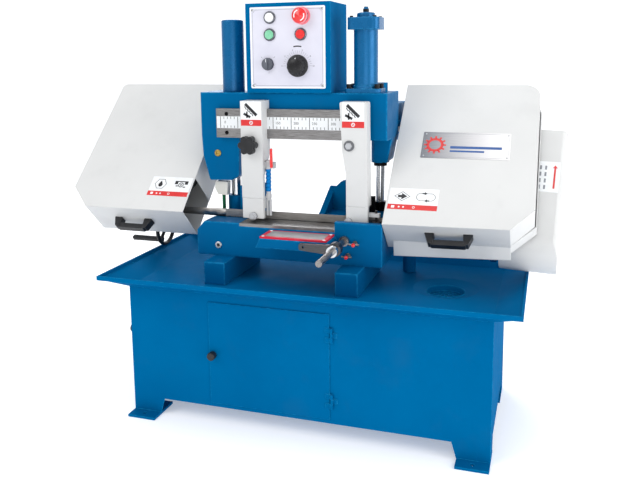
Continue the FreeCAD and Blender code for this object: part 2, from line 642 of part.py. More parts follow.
def build_right_arm():
    front = size("arm_front")
    arm = prism("xz", [(77, size("arm_top"), 6), (165, size("arm_top"), 6), (168, 690), (97, 690),
                       (97, 795, 30), (85, 865, 30)], front, "rail_front - arm_front")
    bolt = join(bar(108, front - 4, 884, 17, 5, "y"),
                prism("xz", [(108 + 11 * math.cos(math.radians(60 * step)),
                              884 + 11 * math.sin(math.radians(60 * step))) for step in range(6)],
                      front - 12, 9))
    node("right_arm", join(arm, bolt))
    bracket = box(160, 221, 655, 42, 18, 12)
    spindle_bore = bar(BRUSH[0], BRUSH[1], 650, "4 + column_fit", 20)
    node("right_guide", cut(join(guide_block(97, 71, 690, 105), bracket), spindle_bore))


def guide_block(x, width, top, bolt_x):
    """A blade guide: a face plate, a bridge over the saw band and a pad each side of the band."""
    front, low = size("arm_front"), size("arm_low")
    blade, gap = size("blade_y"), size("guide_gap")
    plate = box(x, front, low, width, 16, top - low - 0.2)
    over = box(x + 8, front + 12, BLADE_MIDDLE + 20, 50, 53, top - BLADE_MIDDLE - 24)
    pads = [box(x + 12, blade - gap - 9, low - 4, 42, 9, 34), box(x + 12, blade + gap, low - 4, 42, 9, 34)]
    bolt = join(bar(bolt_x, front - 12, low + 8, 13, 13, "y"),
                bar(bolt_x, front - 16, low + 8, 7, 17, "y"))
    return join(plate, over, bolt, *pads)


def build_left_arm():
    x, front = size("left_arm_x"), size("arm_front")
    back, deep = size("rail_front") - 0.7, size("bridge_front") - 0.5
    rail_low, rail_high = size("bridge_low") - 0.3, size("bridge_low") + size("rail_height") + 0.3
    profile = [(front, 700), (front + 14, 700), (front + 14, 775), (deep, 845), (deep, rail_low),
               (back, rail_low), (back, rail_high), (deep, rail_high), (deep, size("arm_top")),
               (front, size("arm_top"))]
    node("left_arm", prism("yz", profile, x, "arm_width"))
    node("left_guide", guide_block(x + 1, 74, 700, x + 40))

    lobes = [bar(21 * math.cos(math.radians(60 * step)), 21 * math.sin(math.radians(60 * step)), 8, 11, 22)
             for step in range(6)]
    star = join(bar(0, 0, 0.3, 14, 20), bar(0, 0, 8, 23, 24), *lobes)
    node("star_knob", star, Placement(Vector(-229, front, 879), FACING_FRONT))


HOSE_X, HOSE_Y = -176, 228


def build_coolant():
    inner_x = size("left_arm_x") + size("arm_width")
    bracket = box(inner_x, HOSE_Y - 8, 800, 34, 16, 20)
    valve = join(bar(HOSE_X, HOSE_Y, 796, 9.5, 30), bar(HOSE_X + 19, HOSE_Y - 16, 812, 7, 12, "y"))
    beads = []
    for step in range(6):
        z = 722 + step * 12.5
        bead = turned([(0, z), (6, z), (9.5, z + 5, 2), (8, z + 13), (0, z + 13)])
        bead.Placement.Base = Vector(HOSE_X, HOSE_Y, 0)
        beads.append(bead)
    fitting = join(bar(HOSE_X, HOSE_Y, 692, 8, 32), bar(HOSE_X, HOSE_Y, 700, 9.5, 12))
    nozzles = [bar(HOSE_X + offset, HOSE_Y, 640, 4.5, 54) for offset in (-5.5, 5.5)]
    node("coolant_line", join(bracket, valve, fitting, *beads, *nozzles))
    lever = prism("xz", [(-4.5, -8, 3), (4.5, -8, 3), (3.5, 56, 3), (-3.5, 56, 3)], -3, 5)
    node("coolant_lever", lever, Placement(Vector(HOSE_X + 19, HOSE_Y - 19.5, 812), Rotation()))


def build_chip_brush():
    spindle = bar(BRUSH[0], BRUSH[1], 640, 4, 36)
    wheel = turned([(0, 622.5), (18, 622.5, 2), (18, 640.5, 2), (0, 640.5)])
    wheel.Placement.Base = Vector(BRUSH[0], BRUSH[1], 0)
    node("chip_brush", join(wheel, spindle))


# ---------------------------------------------------------------- control box
LAMP, EMERGENCY, START, STOP_BUTTON = (-173, 1290), (-62, 1293), (-174, 1235), (-67, 1235)
SELECTOR, DIAL = (-182, 1140), (-79, 1134)


def build_controls():
    left, front, low = size("box_left"), size("box_front"), size("bridge_top")
    wall = 2
    shell = cut(box(left, front, low, "box_width", "box_depth", "box_height"),
                box(left + wall, front + wall, low + wall, "box_width - 4", "box_depth - 4",
                    "box_height - 4"))
    spots = (LAMP, EMERGENCY, START, STOP_BUTTON, SELECTOR, DIAL)
    holes = [bar(x, front - 5, z, 9, 12, "y") for x, z in spots]
    node("control_box", cut(shell, *holes))
    corners = [(left + 17, 1061, 4), (left + 275, 1061, 4), (left + 275, 1324, 4), (left + 17, 1324, 4)]
    plate = prism("xz", corners, front - size("panel_plate"), "panel_plate",
                  holes=[(x, z, 9) for x, z in spots])
    node("control_panel", plate)

    face = front - size("panel_plate")
    bezels = []
    for x, z in (LAMP, START, STOP_BUTTON, EMERGENCY, SELECTOR):
        bezel = turned([(15.5, 0), (20.5, 0), (20.5, 3), (18.5, 6, 1), (15.5, 6)])
        bezel.Placement = Placement(Vector(x, face, z), FACING_FRONT)
        bezels.append(bezel)
    lamp = turned([(0, 0), (15, 0), (15, 7), (11, 14, 5), (0, 16)])
    lamp.Placement = Placement(Vector(LAMP[0], face, LAMP[1]), FACING_FRONT)
    node("button_bezels", group(lamp, *bezels))

    def control(label, spot, profile):
        piece = turned(profile)
        node(label, piece, Placement(Vector(spot[0], face, spot[1]), FACING_FRONT))

    for label, spot in (("start_button", START), ("stop_button", STOP_BUTTON)):
        control(label, spot, [(0, -14), (8, -14), (8, 3.6), (15, 3.6), (15, 9, 1.5), (0, 9)])
    control("emergency_stop", EMERGENCY, [(0, -14), (8, -14), (8, 7), (11, 7), (11, 16), (25, 22),
                                          (25, 28, 4), (0, 34)])
    knob = join(turned([(0, -10), (8, -10), (8, 0.3), (15, 0.3), (15, 9), (0, 9)]),
                prism("xy", [(-5, -18, 4), (5, -18, 4), (5, 18, 4), (-5, 18, 4)], 8.5, 12))
    node("selector_switch", knob, Placement(Vector(SELECTOR[0], face, SELECTOR[1]), FACING_FRONT))
    ribs = [bar(27.5 * math.cos(math.radians(24 * step)), 27.5 * math.sin(math.radians(24 * step)), 1, 3, 20)
            for step in range(15)]
    dial = join(turned([(0, -10), (8, -10), (8, 0.4), (36, 0.4), (36, 3), (28, 5), (27, 22, 3), (0, 24)]),
                *ribs)
    node("feed_dial", dial, Placement(Vector(DIAL[0], face, DIAL[1]), FACING_FRONT))


# ---------------------------------------------------------------- saw band and its wheels
def build_blade():
    """The welded band: two half turns, a straight upper run and a lower run that twists upright."""
    reach, radius = size("right_wheel_x") - size("left_wheel_x"), size("wheel_radius")
    inner, outer = radius - size("blade_thickness") / 2, radius + size("blade_thickness") / 2
    width = size("blade_height")
    slab = Placement(Vector(size("left_wheel_x"), WHEEL_Y, WHEEL_Z), TILT)

    def upper_half(r):
        return [Part.Arc(Vector(0, -r, 0), Vector(-r, 0, 0), Vector(0, r, 0)),
                Part.LineSegment(Vector(0, r, 0), Vector(reach, r, 0)),
                Part.Arc(Vector(reach, r, 0), Vector(reach + r, 0, 0), Vector(reach, -r, 0))]

    edges = [curve.toShape() for curve in upper_half(outer)]
    edges.append(Part.LineSegment(Vector(reach, -outer, 0), Vector(reach, -inner, 0)).toShape())
    edges += [curve.toShape() for curve in reversed(upper_half(inner))]
    edges.append(Part.LineSegment(Vector(0, -inner, 0), Vector(0, -outer, 0)).toShape())
    face = Part.Face(Part.Wire(Part.__sortEdges__(edges)))
    band = face.extrude(Vector(0, 0, width)).translated(Vector(0, 0, -width / 2))
    band.Placement = slab.multiply(band.Placement)

    def section(x, tilt):
        half_t, half_w = size("blade_thickness") / 2, width / 2
        turn = Placement(Vector(x, size("blade_y"), BLADE_MIDDLE), Rotation(Vector(1, 0, 0), tilt))
        corners = [Vector(0, -half_t, -half_w), Vector(0, half_t, -half_w), Vector(0, half_t, half_w),
                   Vector(0, -half_t, half_w)]
        points = [turn.multVec(corner) for corner in corners]
        return Part.makePolygon(points + [points[0]])

    # The band's width lies along the slab's Z at the wheels, 45 degrees from upright.
    tilt = size("slab_tilt")
    steps = 6
    upright_left, upright_right = -345, 145
    stations = [(size("left_wheel_x") + (upright_left - size("left_wheel_x")) * i / steps,
                 tilt * (1 - i / steps)) for i in range(steps + 1)]
    stations += [(upright_right + (size("right_wheel_x") - upright_right) * i / steps, tilt * i / steps)
                 for i in range(steps + 1)]
    spans = [Part.makeLoft([section(*low), section(*high)], True, True)
             for low, high in zip(stations, stations[1:])]
    return band.multiFuse(spans)


def band_wheel(bore):
    """A cast band wheel with a back flange, a web with round windows and a hub."""
    tread = size("wheel_radius") - size("blade_thickness") / 2 - 0.3
    half = size("wheel_width") / 2
    wheel = turned([(bore, -24), (46, -24), (46, -7), (tread - 16, -5), (tread - 16, -half),
                    (tread + 5, -half - 2), (tread + 5, -half + 1.4), (tread, -half + 1.4), (tread, half),
                    (tread - 16, half),
                    (tread - 16, 5), (46, 7), (46, 22), (bore, 22)], "BandWheel")
    doc.recompute()
    return ring_of_holes(wheel, 112, 34, 40, 6, turn=30)


def build_wheels():
    node("saw_blade", custom(build_blade()))
    node("idler_wheel", band_wheel(20.05), LEFT_SLAB)
    node("drive_wheel", band_wheel(20), RIGHT_SLAB)
    block = size("left_case_back") - 53
    axle = join(bar(0, 0, block + 20, 20, 28 - block - 20), bar(0, 0, 28, 30, 8),
                box(-60, -50, block, 120, 289, 52), bar(-200, 0, block + 26, 10, 150, "x"),
                bar(-225, 0, block + 26, 17, 27, "x"))
    node("idler_axle", axle, LEFT_SLAB)


# ---------------------------------------------------------------- wheel cases and covers
CHAMFER_END = 151


def cover_outline(outer_side, inset, corner_radius, outer_half="cover_half", rise=0):
    """The covers' outline in a slab frame; outer_side is -1 on the left and 1 on the right.

    The lower edge climbs by rise towards the chamfered outer corner."""
    half, outer = size("cover_half") - inset, size(outer_half) - inset
    low, high = size("cover_low") + inset, size("cover_high") - inset
    foot = CHAMFER_END - 0.414 * inset
    radius = max(corner_radius - inset, 1)
    return [(-outer_side * half, low), (outer_side * foot, low + rise),
            (outer_side * outer, low + size("cover_corner") - 0.586 * inset),
            (outer_side * outer, high, radius),
            (-outer_side * half, high)]


def hinge_frames():
    """Where the two hinges of each cover sit along the top edge."""
    return (-150, 150)


def build_cover(label, frame, outer_side, back, corner_radius, outer_half, rise):
    wall = size("cover_wall")
    depth = size("cover_face") - back
    shell = cut(prism("xy", cover_outline(outer_side, 0, corner_radius, outer_half, rise), back, depth),
                prism("xy", cover_outline(outer_side, wall, corner_radius, outer_half, rise), back - 1,
                      depth + 1 - wall))
    inner_wall = -outer_side * size("cover_half")
    low_notch = box(inner_wall - 10, size("cover_low") + wall, back - 1, 20,
                    "notch_high - cover_low - cover_wall", depth + 1 - wall)
    high_notch = box(inner_wall - 10, 165, back - 1, 20, 55, 35 - back)
    tabs, bores = [], []
    axis_z = back - 8
    for x in hinge_frames():
        tabs.append(bar(x - 15, size("hinge_axis_up"), axis_z, 6.5, 30, "x"))
        tabs.append(box(x - 15, size("cover_high") + 0.3, axis_z, 30, 5, 24))
        tabs.append(box(x - 15, size("cover_high") - 1, back + 0.5, 30, 6, 15))
        bores.append(bar(x - 16, size("hinge_axis_up"), axis_z, "cover_pin + column_fit", 32, "x"))
    shell = cut(shell, low_notch, high_notch)
    node(label, cut(join(shell, *tabs), *bores), frame)


def cover_handle(label, frame, middle, height):
    """A moulded bridge handle under the cover's lower face."""
    low = size("cover_low")
    feet = [prism("xy", [(middle + side * 74, low, 2), (middle + side * 44, low, 2),
                         (middle + side * 46, low - 34, 3), (middle + side * 60, low - 36, 3)], height, 26)
            for side in (-1, 1)]
    grip = prism("xy", [(middle - 62, low - 22, 4), (middle + 62, low - 22, 4), (middle + 52, low - 40, 6),
                        (middle - 52, low - 40, 6)], height + 2, 22)
    node(label, join(grip, *feet), frame)


def hinge_lugs(axis_z, seat, foot_back, foot_front):
    """Fixed lugs and pins on a wheel case's top edge, either side of the cover's tabs."""
    pieces = []
    for x in hinge_frames():
        pin = bar(x - 28, size("hinge_axis_up"), axis_z, "cover_pin", 56, "x")
        parts = [pin]
        for start in (x - 28, x + 15.5):
            parts.append(bar(start, size("hinge_axis_up"), axis_z, 6.5, 12.5, "x"))
            parts.append(box(start, seat, foot_back, 12.5, size("cover_high") + 6 - seat,
                             foot_front - foot_back))
        pieces.append(join(*parts))
    return pieces


def wheel_tray(outer_side, inset, corner_radius, back, depth, outer_half="cover_half", rise=0):
    """A shallow sheet tray behind a band wheel, with the band's two notches in its inner wall."""
    wall = size("sheet_wall")
    outside = cover_outline(outer_side, inset, corner_radius, outer_half, rise)
    inside = cover_outline(outer_side, inset + wall, corner_radius, outer_half, rise)
    tray = cut(prism("xy", outside, back, depth), prism("xy", inside, back + wall, depth))
    inner_wall = -outer_side * (size("cover_half") - inset)
    low = size("cover_low") + inset + wall
    low_notch = box(inner_wall - 8, low, back + wall, 16, size("notch_high") - low, depth)
    high_notch = box(inner_wall - 8, 165, back + wall, 16, 55, depth)
    return cut(tray, low_notch, high_notch)


def build_cases():
    back, high = size("right_case_back"), size("cover_high")
    depth = size("right_cover_back") - 0.5 - back
    skirt_low = size("cover_low") - 32
    half = size("cover_half")
    edge = size("cover_low")
    skirt = prism("yz", [(edge + 3, back + depth - 2), (edge - 1, back + depth - 2), (skirt_low, back),
                         (edge + 3, back)], -half + 22, "cover_half + 129")
    turn = Rotation(Vector(0, 0, 1), math.degrees(math.atan2(2 * size("cover_rise"), half + CHAMFER_END)))
    skirt.Placement = Placement(Vector(), turn, Vector(-half, edge, 0))
    lugs = hinge_lugs(size("right_cover_back") - 8, high - 1, back, size("right_cover_back") - 8)
    shaft_hole = bar(0, 0, back - 1, 26, 6)
    room = prism("xy", cover_outline(1, 3, 50, "right_case_half", size("cover_rise")), back + 3, depth)
    notch = box(-half - 8, size("cover_low") + 3, back + 3, 16, 138, depth)
    tray = wheel_tray(1, 0, 50, back, depth, "right_case_half", size("cover_rise"))
    node("right_wheel_case", cut(join(tray, skirt, *lugs), shaft_hole, room, notch), RIGHT_SLAB)

    back = size("left_case_back")
    bearing_hole = bar(0, 0, back - 1, 20.05, 6)
    lugs = hinge_lugs(size("left_cover_back") - 8, high, back - 50, size("left_cover_back") - 8)
    node("left_wheel_case", group(cut(wheel_tray(-1, 5, 20, back, 30), bearing_hole), *lugs), LEFT_SLAB)


def build_covers():
    rise = size("cover_rise")
    build_cover("left_cover", LEFT_SLAB, -1, size("left_cover_back"), 20, "cover_half", 0)
    build_cover("right_cover", RIGHT_SLAB, 1, size("right_cover_back"), 50, "right_cover_half", rise)
    cover_handle("left_cover_handle", LEFT_SLAB, 15, -4)
    slope = Rotation(Vector(0, 0, 1), math.degrees(math.atan2(rise, size("cover_half") + CHAMFER_END)))
    along = Placement(Vector(), slope, Vector(-size("cover_half"), size("cover_low"), 0))
    cover_handle("right_cover_handle", RIGHT_SLAB.multiply(along), -30, 18)


# ---------------------------------------------------------------- drive
def belt_wire(big, small, x):
    """The closed line round two pulleys, in the plane across the drive's X axis."""
    high, low = size("worm_up"), size("motor_up")
    lean = math.asin((big - small) / (high - low))
    depth = size("drive_depth")

    def spot(centre, radius, angle):
        return Vector(x, centre + radius * math.sin(angle), depth + radius * math.cos(angle))

    quarter = math.pi / 2
    edges = [Part.Arc(spot(high, big, -lean), spot(high, big, quarter), spot(high, big, math.pi + lean)),
             Part.LineSegment(spot(high, big, math.pi + lean), spot(low, small, math.pi + lean)),
             Part.Arc(spot(low, small, math.pi + lean), spot(low, small, -quarter), spot(low, small, -lean)),
             Part.LineSegment(spot(low, small, -lean), spot(high, big, -lean))]
    return Part.Wire([edge.toShape() for edge in edges])


def pulley_profile(radius, bore):
    """Half section of a V-belt pulley about its axis, 26 wide."""
    return [(bore, 0), (radius, 0), (radius, 4), (radius - 9, 7), (radius - 9, 19), (radius, 22), (radius, 26),
            (bore, 26)]


def build_drive():
    depth, high, low = size("drive_depth"), size("worm_up"), size("motor_up")
    castings = join(box(-98, -96, -175, 196, 241, 88), bar(0, 0, -88, 60, 33),
                    bar(90, high, depth, 30, 22, "x"))
    body = cut(castings, box(-89, -90, -163, 178, 227, 68), bar(0, 0, -180, "20 + column_fit", 130),
               bar(60, high, depth, "12 + column_fit", 60, "x"))
    plate = cut(box(-70, -114, -175, 140, 19, 88), bar(-100, low, depth, "motor_radius + 0.2", 200, "x"))
    node("gearbox", join(body, plate), DRIVE)

    output_shaft = bar(0, 0, -170, 20, 192)
    worm_wheel = bar(0, 0, depth - 15, 86, 30)
    node("drive_shaft", join(output_shaft, worm_wheel), RIGHT_SLAB)

    x = size("pulley_x") - 13
    big = turned(pulley_profile(size("worm_pulley"), 12))
    big.Placement = Placement(Vector(x, high, depth), AXIS_TURN["x"])
    node("worm_shaft", join(bar(-55, high, depth, 12, 270, "x"), bar(-40, high, depth, 22, 80, "x"), big),
         DRIVE)

    small = turned(pulley_profile(size("small_pulley"), 10))
    small.Placement = Placement(Vector(x, low, depth), AXIS_TURN["x"])
    node("motor_pulley", join(small, bar(119.5, low, depth, 10, 98, "x")), DRIVE)

    fins = [bar(-95 + 22 * step, low, depth, "motor_radius", 12, "x") for step in range(8)]
    terminal_box = box(-50, low + 5, depth - 92, 90, 38, 60)
    shell = join(bar(-120, low, depth, "motor_radius - 5", 232, "x"),
                 bar(-130, low, depth, "motor_radius - 2", 34, "x"),
                 bar(96, low, depth, "motor_radius", 16, "x"), terminal_box, *fins)
    node("motor", cut(shell, bar(112, low, depth, 10.3, 10, "x")), DRIVE)

    groove = 9
    big_radius, small_radius = size("worm_pulley"), size("small_pulley")
    outer = Part.Face(belt_wire(big_radius - 1, small_radius - 1, x + 8))
    inner = Part.Face(belt_wire(big_radius - groove + 0.3, small_radius - groove + 0.3, x + 8))
    node("drive_belt", custom(outer.cut(inner).extrude(Vector(10, 0, 0))), DRIVE)

    front, back, top = size("guard_front"), size("guard_back"), size("guard_high")
    bottom, left, right, nose = size("guard_low"), size("guard_left"), size("guard_right"), size("guard_nose")

    def guard_outline(inset):
        return [(bottom + inset, front - inset, 69 - inset), (top - inset, front - inset, 6 - inset),
                (top - inset, back - 14 + inset, 60 - inset), (bottom + inset, back + inset, 68 - inset)]

    def guard_block(inset, start):
        """The hood's outside or inside, with its far end rounded front and back."""
        lobe = prism("yz", guard_outline(inset), start, right - inset - start)
        plan = prism("xz", [(start - 5, front + 20), (right - inset, front - inset, nose - inset),
                            (right - inset, back - 14 + inset, nose - inset), (start - 5, back - 40)],
                     bottom - 5, top - bottom + 10)
        block = doc.addObject("Part::MultiCommon", "Common")
        block.Shapes = [lobe, plan]
        return block

    hood = cut(guard_block(0, left), guard_block(2.5, left - 1))
    back_plate = cut(prism("yz", guard_outline(3), left + 2, 3),
                     bar(left - 1, high, depth, 32, 10, "x"), bar(left - 1, low, depth, 24, 10, "x"))
    node("belt_guard", join(hood, back_plate), DRIVE)


# ---------------------------------------------------------------- assembly
def check(pieces):
    """Stop when any object failed or any finished piece has no sound solid."""
    failed = [item.Name for item in doc.Objects if "Invalid" in item.State or "Error" in item.State]
    if failed:
        raise RuntimeError("objects failed: " + ", ".join(failed))
    for piece in pieces:
        if piece.Shape.isNull() or not piece.Shape.isValid() or not piece.Shape.Solids:
            raise RuntimeError("no sound solid in " + piece.Label)


for build in (build_cabinet, build_doors, build_tray, build_power_units, build_bed, build_table, build_vise,
              build_length_stop, build_limit_switch, build_columns, build_bridge, build_rail,
              build_right_arm, build_left_arm, build_coolant, build_chip_brush, build_controls,
              build_wheels, build_cases, build_covers, build_drive):
    build()
doc.recompute()
check(NODES)

whole = Part.makeCompound([piece.Shape for piece in NODES]).BoundBox
to_origin = Placement(Vector(-whole.Center.x, -whole.Center.y, -whole.ZMin), Rotation())
for piece in NODES:
    moved(piece, to_origin)
doc.recompute()
check(NODES)

os.makedirs("parts", exist_ok=True)
for piece in NODES:
    piece.Shape.exportStep("parts/" + piece.Label + ".step")
print("pieces:", len(NODES))
print("floor frame's zero is at", to_origin.Base)
print("size:", whole.XLength, whole.YLength, whole.ZLength)
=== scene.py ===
import json
import math

import bmesh
import bpy
from mathutils import Matrix, Vector


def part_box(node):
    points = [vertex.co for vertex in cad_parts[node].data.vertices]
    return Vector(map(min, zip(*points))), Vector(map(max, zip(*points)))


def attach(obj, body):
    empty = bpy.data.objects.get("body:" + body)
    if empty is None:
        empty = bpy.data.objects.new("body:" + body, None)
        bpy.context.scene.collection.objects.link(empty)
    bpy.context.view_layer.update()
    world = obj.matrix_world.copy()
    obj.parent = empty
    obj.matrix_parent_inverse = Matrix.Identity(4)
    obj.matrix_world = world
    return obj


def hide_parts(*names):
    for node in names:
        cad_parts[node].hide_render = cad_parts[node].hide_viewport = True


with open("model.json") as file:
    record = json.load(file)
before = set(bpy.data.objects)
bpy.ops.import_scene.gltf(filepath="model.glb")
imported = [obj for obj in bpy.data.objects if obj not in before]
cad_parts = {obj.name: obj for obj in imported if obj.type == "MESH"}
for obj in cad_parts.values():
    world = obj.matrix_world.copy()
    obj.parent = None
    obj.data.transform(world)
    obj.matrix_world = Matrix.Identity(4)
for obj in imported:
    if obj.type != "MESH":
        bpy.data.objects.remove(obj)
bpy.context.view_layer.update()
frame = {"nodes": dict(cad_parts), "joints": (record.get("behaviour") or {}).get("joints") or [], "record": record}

# The CAD model's floor frame, in millimetres: X from the middle of the cabinet to the right,
# Y from the cabinet's front face to the back, Z up from the floor.
MM = 0.001
JOINTS = {joint["name"]: joint for joint in frame["joints"]}
STOP_ARM_PIVOT = Vector((103, 58, 588))
FLOOR_ZERO = Vector(JOINTS["stop_swing"]["pos_m"]) - STOP_ARM_PIVOT * MM
# Y of the guide arms' front faces, of the guide rail's and of the control panel's.
ARM_FRONT = 205
RAIL_FACE = 250
PANEL_FACE = 259
# The wheel covers' outside, out along the wheel's axis from the wheel's own frame.
COVER_FACE = 80
# The belt guard's turn about the drive wheel's axis, in degrees, and its face along that axis.
GUARD_TURN = -3
GUARD_FACE = -61
# The name plate's edges in the drive wheel's frame, and the control panel's as X and Z.
PLATE_LEFT, PLATE_RIGHT, PLATE_LOW, PLATE_HIGH = -146, 135, 10, 117
PANEL_LEFT, PANEL_RIGHT, PANEL_LOW, PANEL_HIGH = -243, 15, 1061, 1324
# The red-framed outfeed plate's left, right, front and back edges.
OUTFEED = -150, 69, 77, 165
# Centres of the controls as X and Z.
LAMP, EMERGENCY, SELECTOR, DIAL = (-173, 1290), (-62, 1293), (-182, 1140), (-79, 1134)
# A label's thickness, and how far its printing and the second printing on top stand up.
FILM = 0.35
PRINT = FILM + 0.15
OVERPRINT = PRINT + 0.1


# ---------------------------------------------------------------- places
def at(x, y, z):
    """A point of the floor frame, in metres in the row frame."""
    return FLOOR_ZERO + Vector((x, y, z)) * MM


def placement(right, up, out, origin):
    """A local frame in millimetres from its three directions and its origin."""
    turn = Matrix((right, up, out)).transposed().to_4x4()
    return Matrix.Translation(origin) @ turn @ Matrix.Scale(MM, 4)


def facing_front(x, y, z):
    """X to the right, Y up and Z out to the operator."""
    return placement((1, 0, 0), (0, 0, 1), (0, -1, 0), at(x, y, z))


def facing_up(x, y, z):
    """X to the right, Y to the back and Z up."""
    return placement((1, 0, 0), (0, 1, 0), (0, 0, 1), at(x, y, z))


def slab(wheel_joint, turn=0):
    """A band wheel's own frame: X to the right, Y up the slope, Z out of the wheel's open side."""
    out = Vector(JOINTS["drive_wheel_spin"]["axis"])
    right = Vector((1, 0, 0))
    place = placement(right, out.cross(right), out, Vector(JOINTS[wheel_joint]["pos_m"]))
    return place @ Matrix.Rotation(math.radians(turn), 4, "Z")


LEFT_SLAB = slab("idler_wheel_spin")
RIGHT_SLAB = slab("drive_wheel_spin")
DRIVE = slab("drive_wheel_spin", GUARD_TURN)


# ---------------------------------------------------------------- shader helpers
def srgb(red, green, blue):
    """A colour given as it looks on a screen, 0 to 255, as linear values."""
    def linear(value):
        value /= 255
        return value / 12.92 if value <= 0.04045 else ((value + 0.055) / 1.055) ** 2.4
    return (linear(red), linear(green), linear(blue), 1)


class Shader:
    """A Principled material and short ways to add nodes to it."""

    def __init__(self, name, metallic=0.0, specular=0.5, coat=0.0, coat_roughness=0.1):
        self.material = bpy.data.materials.new(name)
        self.material.use_nodes = True
        self.nodes = self.material.node_tree.nodes
        self.links = self.material.node_tree.links
        self.surface = self.nodes["Principled BSDF"]
        self.surface.inputs["Metallic"].default_value = metallic
        self.surface.inputs["Specular IOR Level"].default_value = specular
        self.surface.inputs["Coat Weight"].default_value = coat
        self.surface.inputs["Coat Roughness"].default_value = coat_roughness
        self.coords = self.nodes.new("ShaderNodeTexCoord").outputs["Object"]

    def link(self, source, target):
        """Link a socket to an input, or set the input when the source is a plain value."""
        if isinstance(source, bpy.types.NodeSocket):
            self.links.new(source, target)
        else:
            target.default_value = source

    def stretched(self, x, y, z):
        """The object coordinates scaled along each axis."""
        node = self.nodes.new("ShaderNodeVectorMath")
        node.operation = "MULTIPLY"
        self.links.new(self.coords, node.inputs[0])
        node.inputs[1].default_value = (x, y, z)
        return node.outputs["Vector"]

    def noise(self, scale, detail=2.0, roughness=0.5, vector=None):
        """Cloudy noise, 0 to 1, in scale cells to the metre."""
        node = self.nodes.new("ShaderNodeTexNoise")
        self.links.new(vector or self.coords, node.inputs["Vector"])
        node.inputs["Scale"].default_value = scale
        node.inputs["Detail"].default_value = detail
        node.inputs["Roughness"].default_value = roughness
        return node.outputs["Fac"]

    def math(self, operation, a, b=0.0):
        node = self.nodes.new("ShaderNodeMath")
        node.operation = operation
        self.link(a, node.inputs[0])
        self.link(b, node.inputs[1])
        return node.outputs["Value"]

    def span(self, value, low, high, to_low, to_high):
        """The value's range low to high spread over to_low to to_high, and clamped."""
        node = self.nodes.new("ShaderNodeMapRange")
        self.links.new(value, node.inputs["Value"])
        node.inputs["From Min"].default_value = low
        node.inputs["From Max"].default_value = high
        node.inputs["To Min"].default_value = to_low
        node.inputs["To Max"].default_value = to_high
        return node.outputs["Result"]

    def mix(self, factor, a, b):
        """Colour a where the factor is 0, and b where it is 1."""
        node = self.nodes.new("ShaderNodeMix")
        node.data_type = "RGBA"
        self.link(factor, node.inputs["Factor"])
        self.link(a, node.inputs["A"])
        self.link(b, node.inputs["B"])
        return node.outputs["Result"]

    def inside(self, **limits):
        """1 inside a box of the floor frame such as x=(low, high), in millimetres; else 0."""
        parts = self.nodes.new("ShaderNodeSeparateXYZ")
        self.links.new(self.coords, parts.inputs[0])
        result = None
        for index, axis in enumerate("xyz"):
            if axis not in limits:
                continue
            low, high = (FLOOR_ZERO[index] + value * MM for value in limits[axis])
            above = self.math("GREATER_THAN", parts.outputs[index], low)
            within = self.math("MULTIPLY", above, self.math("LESS_THAN", parts.outputs[index], high))
            result = within if result is None else self.math("MULTIPLY", result, within)
        return result

    def edges(self, radius):
        """A rounded-edge normal, and a mask that is 1 along convex and concave edges."""
        bevel = self.nodes.new("ShaderNodeBevel")
        bevel.samples = 4
        bevel.inputs["Radius"].default_value = radius
        geometry = self.nodes.new("ShaderNodeNewGeometry")
        dot = self.nodes.new("ShaderNodeVectorMath")
        dot.operation = "DOT_PRODUCT"
        self.links.new(bevel.outputs["Normal"], dot.inputs[0])
        self.links.new(geometry.outputs["Normal"], dot.inputs[1])
        return bevel.outputs["Normal"], self.span(dot.outputs["Value"], 0.99, 0.85, 0.0, 1.0)

    def bump(self, height, strength, distance, normal=None):
        """A normal bent by a height, at most distance metres deep."""
        node = self.nodes.new("ShaderNodeBump")
        node.inputs["Strength"].default_value = strength
        node.inputs["Distance"].default_value = distance
        self.links.new(height, node.inputs["Height"])
        if normal is not None:
            self.links.new(normal, node.inputs["Normal"])
        return node.outputs["Normal"]

    def finish(self, colour, roughness, normal=None):
        """Connect the surface's inputs and give back the material."""
        self.link(colour, self.surface.inputs["Base Color"])
        self.link(roughness, self.surface.inputs["Roughness"])
        if normal is not None:
            self.links.new(normal, self.surface.inputs["Normal"])
        return self.material


# ---------------------------------------------------------------- materials
def paint(name, deep, light, edge_highlight, regions=(), roughness=0.34, edge_radius=0.003, peel=0.3,
          specular=0.08, metallic=0.0):
    """Sprayed machine enamel: faint clouds, orange peel, and edges lightened to the edge_highlight colour as a
    painted highlight.

    regions are (limits, colour) boxes of the floor frame that carry another finish."""
    shader = Shader(name, metallic=metallic, specular=specular)
    clouds = shader.noise(3.5, 3.0)
    colour = shader.mix(shader.span(clouds, 0.3, 0.7, 0.0, 1.0), deep, light)
    normal, edge = shader.edges(edge_radius)
    # Painted highlight: the edges are lightened, in patches of noise, as if light caught them.
    highlight_breakup = shader.span(shader.noise(60, 4.0, 0.7), 0.42, 0.62, 0.25, 1.0)
    colour = shader.mix(shader.math("MULTIPLY", edge, highlight_breakup), colour, edge_highlight)
    dirt = shader.span(shader.noise(9, 4.0, 0.6), 0.55, 0.8, 0.0, 0.06)
    colour = shader.mix(dirt, colour, srgb(70, 72, 74))
    for limits, other in regions:
        colour = shader.mix(shader.inside(**limits), colour, other)
    rough = shader.span(shader.noise(25, 4.0), 0.3, 0.7, roughness - 0.05, roughness + 0.1)
    height = shader.noise(520, 1.0)
    return shader.finish(colour, rough, shader.bump(height, peel, 0.0003, normal))


